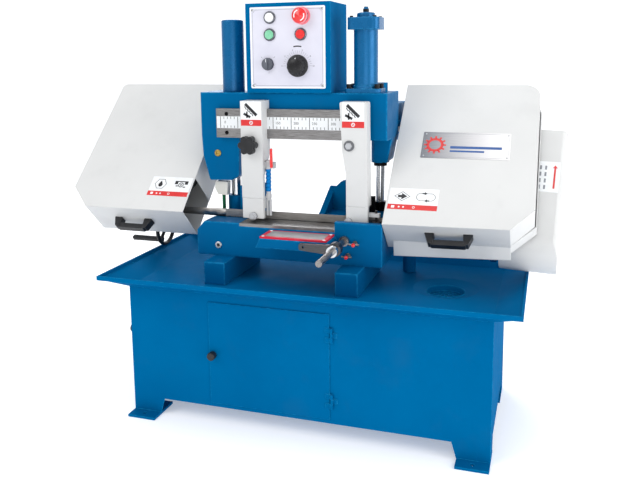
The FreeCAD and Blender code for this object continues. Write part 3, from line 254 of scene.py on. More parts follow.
def ground_metal(name, dark, light, grain=(30, 900, 900), roughness=0.32, stain=0.35, regions=()):
    """Ground or brushed steel: fine parallel scratches and a few darker oil stains."""
    shader = Shader(name, metallic=1.0)
    scratches = shader.noise(1.0, 3.0, 0.6, shader.stretched(*grain))
    colour = shader.mix(shader.span(scratches, 0.3, 0.7, 0.0, 1.0), dark, light)
    blots = shader.span(shader.noise(9, 5.0, 0.65), 0.50, 0.75, 0.0, stain)
    colour = shader.mix(blots, colour, srgb(92, 86, 80))
    for limits, other in regions:
        colour = shader.mix(shader.inside(**limits), colour, other)
    rough = shader.span(scratches, 0.25, 0.75, roughness - 0.1, roughness + 0.12)
    normal, _ = shader.edges(0.0008)
    return shader.finish(colour, rough, shader.bump(scratches, 0.25, 0.0002, normal))


def cast_metal(name, dark, light):
    """Cast iron as it comes from the sand, with small pits."""
    shader = Shader(name, metallic=0.8)
    colour = shader.mix(shader.span(shader.noise(40, 5.0), 0.3, 0.7, 0.0, 1.0), dark, light)
    normal, edge = shader.edges(0.001)
    colour = shader.mix(edge, colour, srgb(165, 165, 165))
    return shader.finish(colour, shader.span(shader.noise(80), 0.3, 0.7, 0.4, 0.6),
                         shader.bump(shader.noise(700, 3.0), 0.5, 0.0005, normal))


def moulded(name, dark, light, roughness=0.42):
    """Moulded plastic with a fine spark-eroded grain and rubbed edges."""
    shader = Shader(name, specular=0.4)
    colour = shader.mix(shader.span(shader.noise(30, 3.0), 0.35, 0.65, 0.0, 1.0), dark, light)
    normal, edge = shader.edges(0.0012)
    colour = shader.mix(shader.math("MULTIPLY", edge, 0.35), colour, srgb(120, 122, 126))
    rough = shader.span(shader.noise(120, 3.0), 0.3, 0.7, roughness - 0.06, roughness + 0.08)
    return shader.finish(colour, rough, shader.bump(shader.noise(900, 2.0), 0.3, 0.0002, normal))


def glossy(name, deep, light, roughness=0.2):
    """Clear bright button plastic with slight cloudiness."""
    shader = Shader(name, specular=0.5, coat=0.4, coat_roughness=0.08)
    colour = shader.mix(shader.span(shader.noise(90, 2.0), 0.3, 0.7, 0.0, 1.0), deep, light)
    rough = shader.span(shader.noise(200), 0.3, 0.7, roughness - 0.05, roughness + 0.06)
    return shader.finish(colour, rough, shader.bump(shader.noise(400), 0.05, 0.0001))


def printed(name, paper, shade, roughness=0.35):
    """Printed film on a label or a scale, slightly uneven."""
    shader = Shader(name, specular=0.4)
    colour = shader.mix(shader.span(shader.noise(45, 3.0), 0.3, 0.7, 0.0, 1.0), paper, shade)
    rough = shader.span(shader.noise(150, 2.0), 0.3, 0.7, roughness - 0.05, roughness + 0.1)
    return shader.finish(colour, rough, shader.bump(shader.noise(600), 0.08, 0.0001))


def panel_film():
    """The control panel: lilac-grey film with a white border."""
    shader = Shader("panel_film", specular=0.35)
    clouds = shader.span(shader.noise(12, 3.0), 0.3, 0.7, 0.0, 1.0)
    colour = shader.mix(clouds, srgb(206, 206, 220), srgb(214, 214, 226))
    border = 5
    field = shader.inside(x=(PANEL_LEFT + border, PANEL_RIGHT - border),
                          z=(PANEL_LOW + border, PANEL_HIGH - border))
    colour = shader.mix(field, srgb(240, 242, 246), colour)
    normal, _ = shader.edges(0.001)
    return shader.finish(colour, shader.span(shader.noise(200), 0.3, 0.7, 0.3, 0.42),
                         shader.bump(shader.noise(900), 0.1, 0.0001, normal))


def plate_metal():
    """Satin plate that is darker towards its left end."""
    shader = Shader("name_plate_metal", metallic=0.6, specular=0.3)
    parts = shader.nodes.new("ShaderNodeSeparateXYZ")
    shader.links.new(shader.coords, parts.inputs[0])
    wheel_x = JOINTS["drive_wheel_spin"]["pos_m"][0]
    along = shader.span(parts.outputs[0], wheel_x + PLATE_LEFT * MM, wheel_x + PLATE_RIGHT * MM, 0.0, 1.0)
    satin = shader.noise(1.0, 3.0, 0.6, shader.stretched(20, 500, 500))
    along = shader.math("ADD", along, shader.span(satin, 0.3, 0.7, -0.06, 0.06))
    colour = shader.mix(shader.span(along, 0.0, 1.0, 0.0, 1.0), srgb(112, 114, 120), srgb(222, 221, 222))
    return shader.finish(colour, shader.span(satin, 0.3, 0.7, 0.38, 0.5),
                         shader.bump(satin, 0.1, 0.0001))


# Each paint's two clouds of colour and the lighter colour of its painted edge highlight.
BLUE = (srgb(0, 92, 144), srgb(0, 99, 152), srgb(36, 150, 206))
WHITE = (srgb(206, 207, 207), srgb(212, 213, 213), srgb(234, 235, 235))
GREY = (srgb(110, 112, 116), srgb(124, 126, 130), srgb(160, 160, 162))
RED = (srgb(204, 40, 62), srgb(214, 50, 72), srgb(226, 96, 110))
BLACK = srgb(24, 25, 28)
CHROME = dict(dark=srgb(190, 192, 195), light=srgb(220, 222, 224), grain=(900, 900, 30), roughness=0.16,
              stain=0.08)
MATERIALS = {
    "blue_paint": paint("blue_enamel", *BLUE, specular=0.0, metallic=0.06),
    "white_paint": paint("white_enamel", *WHITE, peel=0.2),
    "ground_steel": ground_metal("ground_steel", srgb(118, 116, 116), srgb(166, 165, 165)),
    "dark_steel": ground_metal("dark_steel", srgb(62, 62, 64), srgb(98, 98, 100), stain=0.2),
    "band_steel": ground_metal("band_steel", srgb(128, 125, 122), srgb(168, 165, 162), roughness=0.38),
    "hard_chrome": ground_metal("hard_chrome", **CHROME),
    "cast_iron": cast_metal("cast_iron", srgb(88, 90, 92), srgb(116, 118, 120)),
    "grey_paint": paint("grey_enamel", *GREY),
    "black_plastic": moulded("black_plastic", srgb(22, 23, 26), srgb(34, 35, 39)),
    "panel_face": panel_film(),
    "bezel_metal": ground_metal("bezel_metal", srgb(170, 170, 172), srgb(205, 205, 206),
                                grain=(500, 500, 500), roughness=0.25, stain=0.05),
    "green_plastic": glossy("green_plastic", srgb(110, 190, 150), srgb(135, 205, 168)),
    "red_plastic": glossy("red_plastic", srgb(214, 32, 34), srgb(232, 44, 44)),
    "white_plastic": glossy("white_plastic", srgb(232, 234, 236), srgb(244, 245, 246)),
    "belt_rubber": moulded("belt_rubber", srgb(20, 20, 20), srgb(32, 32, 32), roughness=0.7),
}
LABEL_WHITE = printed("label_white", srgb(228, 231, 234), srgb(234, 237, 239))
LABEL_RED = printed("label_red", srgb(204, 42, 44), srgb(214, 52, 50))
LABEL_BLACK = printed("label_black", srgb(28, 28, 32), srgb(42, 42, 46))
LABEL_BLUE = printed("label_blue", srgb(36, 78, 140), srgb(44, 88, 152))
LABEL_GREY = printed("label_grey", srgb(120, 124, 132), srgb(138, 142, 150))
PINK = printed("label_pink", srgb(238, 120, 134), srgb(246, 142, 152))
BRASS = ground_metal("brass", srgb(160, 130, 62), srgb(205, 176, 100), grain=(300, 300, 300), stain=0.15)
SCREW_BLACK = ground_metal("black_oxide", srgb(26, 26, 28), srgb(48, 48, 50), grain=(400, 400, 400),
                           stain=0.1)
SCREW_STEEL = ground_metal("zinc_steel", srgb(176, 178, 180), srgb(206, 208, 210), grain=(400, 400, 400),
                           roughness=0.26, stain=0.1)
NAME_PLATE = plate_metal()
GREY_KNOB = moulded("grey_knob", srgb(74, 78, 88), srgb(92, 96, 106))


def dress(node, material):
    """Give a CAD node its material, on every slot that its mesh has."""
    mesh_object = frame["nodes"][node]
    if not mesh_object.material_slots:
        mesh_object.data.materials.append(material)
    for material_slot in mesh_object.material_slots:
        material_slot.material = material


def dress_arms():
    """White paint, with bare bolts ahead of the arms' faces and bare jaws at the band."""
    washers = dict(y=(ARM_FRONT - 40, ARM_FRONT - 0.2))
    heads = dict(y=(ARM_FRONT - 40, ARM_FRONT - 5.2))
    jaws = dict(z=(600, 631.9))
    bare = [(washers, srgb(112, 114, 118)), (heads, srgb(182, 184, 188)), (jaws, srgb(120, 120, 122))]
    for node, name in (("right_arm", "arm"), ("left_guide", "left_guide"), ("right_guide", "right_guide")):
        dress(node, paint("white_enamel_" + name, *WHITE, regions=bare))


def dress_columns():
    """Chromed columns with a black foot, and glossy turned paint on the cylinder and the sleeve."""
    column_foot = dict(x=(140, 200), z=(640, 677.2))
    dress("guide_columns", ground_metal("hard_chrome_columns", **CHROME, regions=[(column_foot, BLACK)]))
    round_paint = paint("blue_enamel_turned", *BLUE, edge_radius=0.006, specular=0.3, metallic=0.3,
                        roughness=0.26)
    for turned_piece in ("lift_cylinder", "column_sleeve"):
        dress(turned_piece, round_paint)


def dress_castings():
    """Blue castings with wide soft edges, and the bridge's black wiper and stop bar."""
    casting = dict(edge_radius=0.009, specular=0.02, metallic=0.2)
    wiper = dict(x=(140, 200), y=(355, 410), z=(790, 812.8))
    stop_bar = dict(x=(143.5, 160.5), y=(329.5, 346.5), z=(640, 894.5))
    dress("bridge_casting", paint("blue_enamel_bridge", *BLUE, regions=[(wiper, BLACK), (stop_bar, BLACK)],
                                  **casting))
    cast_paint = paint("blue_enamel_castings", *BLUE, **casting)
    for node in ("bed_casting", "saddle_blocks"):
        dress(node, cast_paint)


def dress_controls():
    """Steel rings with a darker one round the selector, and the selector's grey knob."""
    reach = 22
    selector_ring = dict(x=(SELECTOR[0] - reach, SELECTOR[0] + reach),
                         z=(SELECTOR[1] - reach, SELECTOR[1] + reach))
    dress("button_bezels", ground_metal("bezel_rings", srgb(92, 94, 102), srgb(128, 130, 138),
                                        grain=(500, 500, 500), roughness=0.25, stain=0.05,
                                        regions=[(selector_ring, srgb(60, 66, 80))]))
    dress("selector_switch", GREY_KNOB)


def dress_fittings():
    """Coolant line with a blue hose, limit switch on a green post, framed plate and stop rod."""
    hose = dict(z=(721.9, 797))
    dress("coolant_line", paint("coolant_fittings", srgb(172, 174, 176), srgb(196, 198, 200),
                                srgb(220, 221, 222), regions=[(hose, srgb(10, 118, 190))],
                                roughness=0.25, edge_radius=0.0008))
    post = dict(x=(-386, -362), z=(600, 689))
    dress("limit_switch", paint("switch_housing", srgb(222, 222, 214), srgb(232, 232, 226),
                                srgb(240, 240, 236), regions=[(post, srgb(20, 96, 62))], edge_radius=0.001))
    left, right, front, back = OUTFEED
    whole = dict(x=(left - 5, right + 5))
    field = dict(x=(left + 14, right - 14), y=(front + 12, back - 8))
    dress("outfeed_plate", paint("outfeed_enamel", *RED, edge_radius=0.0015,
                                 regions=[(whole, RED[0]), (field, srgb(150, 148, 150))]))
    dress("stop_rod", ground_metal("stop_rod_steel", srgb(112, 108, 108), srgb(168, 164, 162),
                                   grain=(400, 40, 400), roughness=0.3, stain=0.4))


def dress_cad_nodes():
    """Every CAD node's finish from its material slot, and then those that have one of their own."""
    for part in frame["record"]["subparts"]:
        dress(part["node"], MATERIALS[part["material_slot"]])
    dress_arms()
    dress_columns()
    dress_castings()
    dress_controls()
    dress_fittings()


# ---------------------------------------------------------------- mesh helpers
def linked_object(name, data):
    """A new object in the scene."""
    made = bpy.data.objects.new(name, data)
    bpy.context.scene.collection.objects.link(made)
    return made


def mesh_from(builder, name):
    """A new mesh from a bmesh, which is freed."""
    data = bpy.data.meshes.new(name)
    builder.to_mesh(data)
    builder.free()
    return data


def worked_out_mesh(holder):
    """A new mesh of an object, with its modifiers or its text outline worked out."""
    bpy.context.view_layer.update()
    return bpy.data.meshes.new_from_object(holder.evaluated_get(bpy.context.evaluated_depsgraph_get()))


def finished_object(name, mesh_data, place, material, body, bevel=0.0, smooth=False):
    """Link a mesh built in millimetres in a local frame, and let it ride on a CAD body."""
    mesh_data.transform(place)
    mesh_data.materials.append(material)
    made = linked_object(name, mesh_data)
    if smooth:
        for polygon in mesh_data.polygons:
            polygon.use_smooth = True
        mesh_data.set_sharp_from_angle(angle=math.radians(35))
    if bevel:
        rounding = made.modifiers.new("rounding", "BEVEL")
        rounding.width = bevel * MM
        rounding.segments = 2
        rounding.angle_limit = math.radians(40)
    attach(made, body)


def add_prism(mesh, outline, low, high, place=Matrix.Identity(4)):
    """Extrude a closed outline of (x, y) points from low to high along Z."""
    if sum(a[0] * b[1] - b[0] * a[1] for a, b in zip(outline, outline[1:] + outline[:1])) < 0:
        outline = outline[::-1]
    floor = [mesh.verts.new(place @ Vector((x, y, low))) for x, y in outline]
    roof = [mesh.verts.new(place @ Vector((x, y, high))) for x, y in outline]
    mesh.faces.new(floor[::-1])
    mesh.faces.new(roof)
    for index in range(len(outline)):
        after = (index + 1) % len(outline)
        mesh.faces.new((floor[index], floor[after], roof[after], roof[index]))


def add_turned(mesh, place, profile, count=40):
    """Turn a half section of (radius, z) points about Z in count steps."""
    rings = []
    for radius, z in profile:
        if radius == 0:
            rings.append([mesh.verts.new(place @ Vector((0, 0, z)))])
            continue
        angles = [2 * math.pi * step / count for step in range(count)]
        points = [Vector((radius * math.cos(a), radius * math.sin(a), z)) for a in angles]
        rings.append([mesh.verts.new(place @ point) for point in points])
    for lower, upper in zip(rings, rings[1:]):
        for step in range(count):
            corners = [lower[step % len(lower)], lower[(step + 1) % len(lower)],
                       upper[(step + 1) % len(upper)], upper[step % len(upper)]]
            unique = list(dict.fromkeys(corners))
            if len(unique) > 2:
                mesh.faces.new(unique)


def plates(name, place, outlines, low, high, material, body, bevel=0.0):
    """One object of several extruded outlines in a local frame."""
    mesh = bmesh.new()
    for outline in outlines:
        add_prism(mesh, outline, low, high)
    finished_object(name, mesh_from(mesh, name), place, material, body, bevel)


def turnings(name, places, profile, material, body):
    """One object of the same turned shape at several places."""
    mesh = bmesh.new()
    for place in places:
        add_turned(mesh, place, profile)
    bmesh.ops.recalc_face_normals(mesh, faces=mesh.faces)
    finished_object(name, mesh_from(mesh, name), Matrix.Identity(4), material, body, smooth=True)


def rectangle(left, right, low, high, corner=0.0):
    """A rectangle's outline, with chamfered corners when asked."""
    if not corner:
        return [(left, low), (right, low), (right, high), (left, high)]
    return [(left + corner, low), (right - corner, low), (right, low + corner), (right, high - corner),
            (right - corner, high), (left + corner, high), (left, high - corner), (left, low + corner)]


def line(start, end, width):
    """A thin bar from start to end."""
    way = (Vector(end) - Vector(start)).normalized() * (width / 2)
    side = Vector((-way.y, way.x))
    a, b = Vector(start) - way, Vector(end) + way
    return [tuple(a - side), tuple(b - side), tuple(b + side), tuple(a + side)]


def loop(points, width):
    """Thin bars along a closed line."""
    return [line(a, b, width) for a, b in zip(points, points[1:] + points[:1])]


def arc(centre, inner, outer, start, end, steps=12):
    """A curved band between two radii and two angles in degrees."""
    angles = [math.radians(start + (end - start) * step / steps) for step in range(steps + 1)]
    outside = [(centre[0] + outer * math.cos(a), centre[1] + outer * math.sin(a)) for a in angles]
    inside = [(centre[0] + inner * math.cos(a), centre[1] + inner * math.sin(a)) for a in reversed(angles)]
    return outside + inside


def ring(centre, inner, outer):
    """A flat ring, as two half bands."""
    return [arc(centre, inner, outer, 0, 180), arc(centre, inner, outer, 180, 360)]


def disc(centre, radius, count=24):
    """A circle's outline, or a regular polygon's with a small count."""
    return [(centre[0] + radius * math.cos(2 * math.pi * step / count),
             centre[1] + radius * math.sin(2 * math.pi * step / count)) for step in range(count)]


def arrow(start, end, width):
    """An arrow from start to end: a shaft and a head twice as wide."""
    way = (Vector(end) - Vector(start)).normalized()
    side = Vector((-way.y, way.x)) * width
    neck = Vector(end) - way * width * 2
    return [tuple(p) for p in (Vector(start) - side / 2, neck - side / 2, neck - side * 1.3, Vector(end),
                               neck + side * 1.3, neck + side / 2, Vector(start) + side / 2)]


def numbers(name, place, marks, height, low, high, material, body):
    """Raised figures: marks are (number, x, y), centred on the point."""
    mesh = bmesh.new()
    for figure, x, y in marks:
        curve = bpy.data.curves.new("figure", "FONT")
        curve.body = str(figure)
        curve.size = height
        curve.align_x = "CENTER"
        curve.align_y = "CENTER"
        curve.extrude = (high - low) / 2
        curve.resolution_u = 3
        holder = linked_object("figure", curve)
        data = worked_out_mesh(holder)
        data.transform(Matrix.Translation((x, y, (low + high) / 2)))
        mesh.from_mesh(data)
        bpy.data.objects.remove(holder)
        bpy.data.meshes.remove(data)
    finished_object(name, mesh_from(mesh, name), place, material, body)


# ---------------------------------------------------------------- fasteners
def cap_screws(name, places, radius, height, body):
    """Black cap screws with a round socket."""
    head = [(radius, 0), (radius, height - 0.6), (radius - 0.6, height), (radius * 0.56, height),
            (radius * 0.5, height - 0.4), (radius * 0.5, height * 0.45), (0, height * 0.45)]
    turnings(name, places, head, SCREW_BLACK, body)


def pan_screws(name, places, radius, body):
    """Low domed screws with a cross on the head."""
    height = radius * 0.55
    dome = [(radius, 0), (radius, height * 0.3), (radius * 0.8, height * 0.75), (radius * 0.4, height),
            (0, height * 1.05)]
    turnings(name, places, dome, SCREW_STEEL, body)
    long, short = radius * 0.5, radius * 0.1
    mesh = bmesh.new()
    for place in places:
        for outline in (rectangle(-long, long, -short, short), rectangle(-short, short, -long, long)):
            add_prism(mesh, outline, height * 0.9, height * 1.12, place)
    recess = name + "_recess"
    finished_object(recess, mesh_from(mesh, recess), Matrix.Identity(4), LABEL_BLACK, body)


# ---------------------------------------------------------------- covers
def toothed_ring(centre):
    """A plain ring with twelve teeth round it."""
    inner, outer, tip, teeth = 19, 28, 33, 12
    outlines = []
    for step in range(teeth):
        a = 2 * math.pi * step / teeth
        way = Vector((math.cos(a), math.sin(a)))
        outlines.append(line(tuple(Vector(centre) + way * outer), tuple(Vector(centre) + way * tip), 6))
    return outlines + ring(centre, inner, outer)


def make_name_plate():
    """A satin plate with a printed line, four rivets, a plain toothed ring and two bars."""
    left, right, low, high = PLATE_LEFT, PLATE_RIGHT, PLATE_LOW, PLATE_HIGH
    top = COVER_FACE + 1.2
    print_top = top + 0.2
    plates("name_plate", RIGHT_SLAB, [rectangle(left, right, low, high, 2)], COVER_FACE, top, NAME_PLATE,
           "drive_cover", bevel=0.4)
    frame_line = loop(rectangle(left + 5, right - 5, low + 5, high - 5), 0.8)
    plates("name_plate_line", RIGHT_SLAB, frame_line, top, top + 0.15, LABEL_GREY, "drive_cover")
    emblem = toothed_ring((left + 42, (low + high) / 2))
    plates("name_plate_emblem", RIGHT_SLAB, emblem, top, print_top, LABEL_RED, "drive_cover")
    bars = [rectangle(left + 92, right - 26, low + 40, low + 50),
            rectangle(left + 92, right - 80, low + 26, low + 33)]
    plates("name_plate_bars", RIGHT_SLAB, bars, top, print_top, LABEL_BLUE, "drive_cover")
    places = [RIGHT_SLAB @ Matrix.Translation((x, y, top))
              for x in (left + 9, right - 9) for y in (low + 9, high - 9)]
    turnings("name_plate_rivets", places, [(2.6, 0), (2.4, 0.6), (1.4, 1.1), (0, 1.3)], SCREW_STEEL,
             "drive_cover")


def travel_signs(left, middle):
    """An arrow in a rhombus, and a band loop with the arrows of its travel."""
    rhombus = [(left + 18, middle), (left + 42, middle - 17), (left + 66, middle), (left + 42, middle + 17)]
    signs = loop(rhombus, 1.4) + [arrow((left + 28, middle), (left + 58, middle), 9)]
    first, last = left + 100, left + 132
    upper, lower = middle + 13.5, middle - 13.5
    signs += [arc((first, middle), 12.8, 14.2, 90, 270), arc((last, middle), 12.8, 14.2, -90, 90),
              line((first, upper), (last, upper), 1.4), line((first, lower), (last, lower), 1.4),
              arrow((first + 4, upper), (first + 20, upper), 4.4),
              arrow((last - 4, lower), (last - 20, lower), 4.4)]
    return signs


def coolant_signs(left, middle):
    """A drop in a hexagon, and a plain bracket round a ring."""
    x = left + 38
    belly = [(x + 8 * math.cos(math.radians(a)), middle - 4 + 8 * math.sin(math.radians(a)))
             for a in range(180, 361, 20)]
    drop = [(x, middle + 14), (x - 8, middle - 1)] + belly + [(x + 8, middle - 1)]
    signs = loop(disc((x, middle), 22, 6), 1.6) + [drop]
    signs += [rectangle(left + 92, left + 104, middle + 1, middle + 15),
              rectangle(left + 130, left + 142, middle + 1, middle + 15),
              rectangle(left + 104, left + 130, middle + 11, middle + 15)]
    eye = (left + 117, middle - 1)
    signs += ring(eye, 7, 10)
    signs += [disc(eye, 3.4), rectangle(left + 98, left + 107, middle - 8, middle - 4),
              rectangle(left + 127, left + 136, middle - 12, middle - 8)]
    return signs


def make_cover_label(side, place, left, low, body, signs):
    """A white label with two plain signs above a red band."""
    width, height, band = 155, 80, 19
    right, high = left + width, low + height
    base, film, upper, top = (COVER_FACE + rise for rise in (0, FILM, PRINT, OVERPRINT))
    name = side + "_cover_label"
    plates(name, place, [rectangle(left, right, low, high, 1.5)], base, film, LABEL_WHITE, body)
    plates(name + "_band", place, [rectangle(left, right, low, low + band)], film, upper, LABEL_RED, body)
    middle = low + band + (height - band) / 2
    plates(name + "_signs", place, signs(left, middle), film, upper, LABEL_BLACK, body)
    band_middle = low + band / 2
    spots = [rectangle(left + 12, left + 22, low + 5, low + 14)]
    spots += [disc((left + x, band_middle), 3) for x in (36, 50)] + ring((left + 82, band_middle), 2.6, 4.2)
    plates(name + "_spots", place, spots, upper, top, LABEL_WHITE, body)


def make_guard_label():
    """The belt guard's label: a tall red arrow beside rows of plain bars."""
    left, right, low, high = 214, 284, 8, 130
    base, film, upper = (GUARD_FACE + rise for rise in (0, FILM, PRINT))
    plates("guard_label", DRIVE, [rectangle(left, right, low, high, 1.5)], base, film, LABEL_WHITE, "bow")
    upward = arrow((right - 16, low + 14), (right - 16, high - 14), 6)
    plates("guard_label_arrow", DRIVE, [upward], film, upper, LABEL_RED, "bow")
    bars = []
    for column in range(2):
        for row in range(4):
            x, y = left + 6 + 16 * column, low + 10 + 26 * row
            bars.append(rectangle(x, x + 6, y, y + 16))
    plates("guard_label_bars", DRIVE, bars, film, upper, LABEL_GREY, "bow")


def make_arm_label(side, left, body):
    """A square label on a guide arm: a plain blade-and-bar sign above a red band."""
    place = facing_front(left, ARM_FRONT, 941)
    width, height, band = 72, 80, 20
    name = side + "_arm_label"
    plates(name, place, [rectangle(0, width, 0, height, 1)], 0, FILM, LABEL_WHITE, body)
    signs = [line((20, 68), (52, 38), 10), line((14, 38), (30, 30), 8), line((22, 44), (22, 28), 5)]
    signs += [line((15 + 8 * step, 62 - 7.4 * step), (19 + 8 * step, 55 - 7.4 * step), 3)
              for step in range(4)]
    plates(name + "_sign", place, signs, FILM, PRINT, LABEL_BLACK, body)
    plates(name + "_band", place, [rectangle(0, width, 0, band)], FILM, PRINT, LABEL_RED, body)
    plates(name + "_ring", place, ring((36, 10), 4, 6.4) + [line((32, 14), (40, 6), 1.8)],
           PRINT, OVERPRINT, LABEL_WHITE, body)


# ---------------------------------------------------------------- rail and legs
def make_rail_scale():
    """The steel rule on the guide rail: white, with ticks at both edges and figures."""
    left, right, low, high = -369, 158, 927, 967
    zero, pitch, ticks_per_field, steps = -355, 12.7, 5, 40
    film, top = 0.3, 0.4
    rule = facing_front(0, RAIL_FACE, 0)
    plates("rail_scale", rule, [rectangle(left, right, low, high)], 0, film, LABEL_WHITE, "bow")
    ticks, figures = [], []
    for step in range(steps + 1):
        x = zero + pitch * step
        if step % ticks_per_field == 0:
            ticks.append(rectangle(x - 1, x + 1, low + 1, high - 1))
            figures.append((step // ticks_per_field * 50, x + 17, (low + high) / 2))
        else:
            ticks.append(rectangle(x - 0.9, x + 0.9, low + 1, low + 9))
            ticks.append(rectangle(x - 0.9, x + 0.9, high - 9, high - 1))
    plates("rail_scale_ticks", rule, ticks, film, top, LABEL_BLACK, "bow")
    numbers("rail_scale_figures", rule, figures[:-1], 12, film, top, LABEL_BLACK, "bow")


def make_rail_screws():
    """Four black screws at the ends of the guide rail, with their heads sunk into it."""
    places = [facing_front(x, RAIL_FACE + 8, z) for x in (-333, 120) for z in (912, 975)]
    cap_screws("rail_screws", places, 6.5, 7.6, "bow")


def make_plugs():
    """A brass plug on the left leg and a steel one on the bed."""
    plug = [(12, 0), (12, 2), (10, 3.4), (6, 3.4), (5, 1), (0, 1)]
    turnings("leg_plug", [facing_front(-379, 272, 838)], plug, BRASS, "bow")
    bed_place = facing_front(-335, 165, 543)
    turnings("bed_plug", [bed_place], plug, SCREW_STEEL, "base")
    turnings("bed_plug_socket", [bed_place], [(5, 0), (5, 1.4), (0, 1.4)], LABEL_BLACK, "base")


# ---------------------------------------------------------------- control panel
def around(centre, radius, degrees):
    """The point at a radius and an angle from a centre."""
    angle = math.radians(degrees)
    return centre[0] + radius * math.cos(angle), centre[1] + radius * math.sin(angle)


def dial_ticks():
    """Half a turn of ticks round the dial, every other one longer."""
    ticks = []
    for step in range(21):
        inner = 41 if step % 2 == 0 else 44
        degrees = 180 - 9 * step
        ticks.append(line(around(DIAL, inner, degrees), around(DIAL, 49, degrees), 0.8))
    return ticks


def selector_ticks():
    """A tick under the selector and one at each side above it."""
    x, z = SELECTOR
    return [line((x + 3, z - 24), (x + 3, z - 30), 1.2),
            line((x - 20, z + 20), (x - 24, z + 24), 1.2),
            line((x + 20, z + 20), (x + 24, z + 24), 1.2)]


def make_panel_print():
    """The printed frame line, the controls' ticks, and the dial's arc and figures."""
    place = facing_front(0, PANEL_FACE, 0)
    inset, corner, ink = 9, 10, 0.12
    edge = rectangle(PANEL_LEFT + inset, PANEL_RIGHT - inset, PANEL_LOW + inset, PANEL_HIGH - inset, corner)
    lines = loop(edge, 0.9) + dial_ticks() + selector_ticks()
    plates("panel_lines", place, lines, 0, ink, LABEL_GREY, "bow")
    plates("panel_arc", place, [arc((DIAL[0], DIAL[1] + 10), 51, 55, 75, 105)], 0, ink, LABEL_BLACK, "bow")
    figures = []
    for figure in range(0, 11, 2):
        x, z = around(DIAL, 54, 180 - 18 * figure)
        if abs(x - DIAL[0]) > 12:
            figures.append((figure, x, z - 1))
    numbers("panel_figures", place, figures, 7, 0, ink, LABEL_BLACK, "bow")


def on_panel(control):
    """A control's own frame on the panel's face."""
    return facing_front(control[0], PANEL_FACE, control[1])


def make_panel_fittings():
    """The panel's corner screws, the emergency stop's pink collar and the lamp's dome."""
    inset = 9
    places = [facing_front(x, PANEL_FACE, z) for x in (PANEL_LEFT + inset, PANEL_RIGHT - inset)
              for z in (PANEL_LOW + inset, PANEL_HIGH - inset)]
    pan_screws("panel_screws", places, 4.6, "bow")
    collar = [(28, 0), (28, 0.6), (26.5, 1), (21, 1)]
    turnings("emergency_plate", [on_panel(EMERGENCY)], collar, PINK, "bow")
    dome = [(15.2, 0.2), (15.2, 7.2), (14, 10.4), (11.3, 13.4), (8, 15.4), (0, 16.4)]
    turnings("lamp_dome", [on_panel(LAMP)], dome, MATERIALS["white_plastic"], "bow")


def make_emergency_details():
    """The emergency button's pink rim and white release arrows."""
    place = on_panel(EMERGENCY)
    rim = [(25.2, 22.6), (26.2, 23.4), (26.2, 26.6), (25.4, 28.4), (23.6, 29.4)]
    turnings("emergency_rim", [place], rim, PINK, "emergency")
    arcs = [arc((0, 0), 15, 18.4, start, start + 95, 14) for start in (-75, 105)]
    top = 29.6
    plates("emergency_arrows", place, arcs, top, top + 1.6, LABEL_WHITE, "emergency")


def make_dial_details():
    """The dial's cap and white pointer."""
    place = on_panel(DIAL)
    plates("dial_pointer", place, [rectangle(-0.9, 0.9, 12, 26)], 22, 24.3, LABEL_WHITE, "dial")
    cap = [(22, 23.4), (22, 24.6), (20.5, 25.2), (0, 25.4)]
    cap_plastic = moulded("dial_cap_plastic", srgb(14, 14, 17), srgb(22, 22, 26), 0.25)
    turnings("dial_cap", [place], cap, cap_plastic, "dial")


def make_selector_details():
    """The selector's round skirt and white pointer."""
    place = on_panel(SELECTOR)
    plates("selector_pointer", place, [rectangle(-0.9, 0.9, 6, 16)], 20.4, 20.8, LABEL_WHITE, "selector")
    skirt = [(19.4, 6.4), (19.4, 9.4), (17.6, 12.4), (12, 14), (0, 14)]
    turnings("selector_skirt", [place], skirt, GREY_KNOB, "selector")


# ---------------------------------------------------------------- columns and cylinder
def make_cylinder_screws():
    """Black socket screws on the cylinder's foot and head."""
    x, y = 134, 320
    foot = [facing_up(x + dx, y + dy, 1060) for dx, dy in ((-48, -32), (44, -32), (44, 26), (-48, 26))]
    cap_screws("cylinder_foot_screws", foot, 8.6, 14.4, "bow")
    head = [facing_up(x + dx, y + dy, 1285) for dx, dy in ((-38, -38), (38, -38), (38, 38), (-38, 38))]
    cap_screws("cylinder_head_screws", head, 5.5, 5, "bow")
    bleed = [(9.6, 3), (9.6, 12), (6.4, 13), (6.4, 19.4), (3.4, 19.4), (3.4, 15), (0, 15)]
    turnings("bleed_screw", [facing_up(x, y, 1300)], bleed, SCREW_BLACK, "bow")


def make_outfeed_screws():
    """Four low screws on the red frame of the outfeed plate."""
    left, right, front, back = OUTFEED
    lift = Matrix.Translation((0, 0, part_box("outfeed_plate")[1].z - FLOOR_ZERO.z))
    places = [lift @ facing_up(x, y, 0) for x in (left + 9, right - 9) for y in (front + 7, back - 8)]
    turnings("outfeed_screws", places, [(5, 0), (4.6, 0.8), (2.6, 1.6), (0, 1.8)], LABEL_WHITE, "base")


def make_clamp_tips():
    """The red plastic tips of the two clamp screws on the bed front."""
    tip = [(6, 0), (6.4, 2), (5.6, 5), (0, 6)]
    turnings("clamp_tips", [facing_front(x, 139.5, z) for x, z in ((115, 541), (138, 582))], tip,
             MATERIALS["red_plastic"], "base")


def make_handwheel_hub():
    """A bright cap on the vise handwheel's hub."""
    low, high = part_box("vise_handwheel")
    middle = (low + high) / 2
    place = placement((0, -1, 0), (0, 0, 1), (-1, 0, 0), Vector((low.x, middle.y, middle.z)))
    turnings("handwheel_cap", [place], [(13, -2), (13, 1), (11, 3), (0, 3.4)], SCREW_STEEL, "vise_drive")


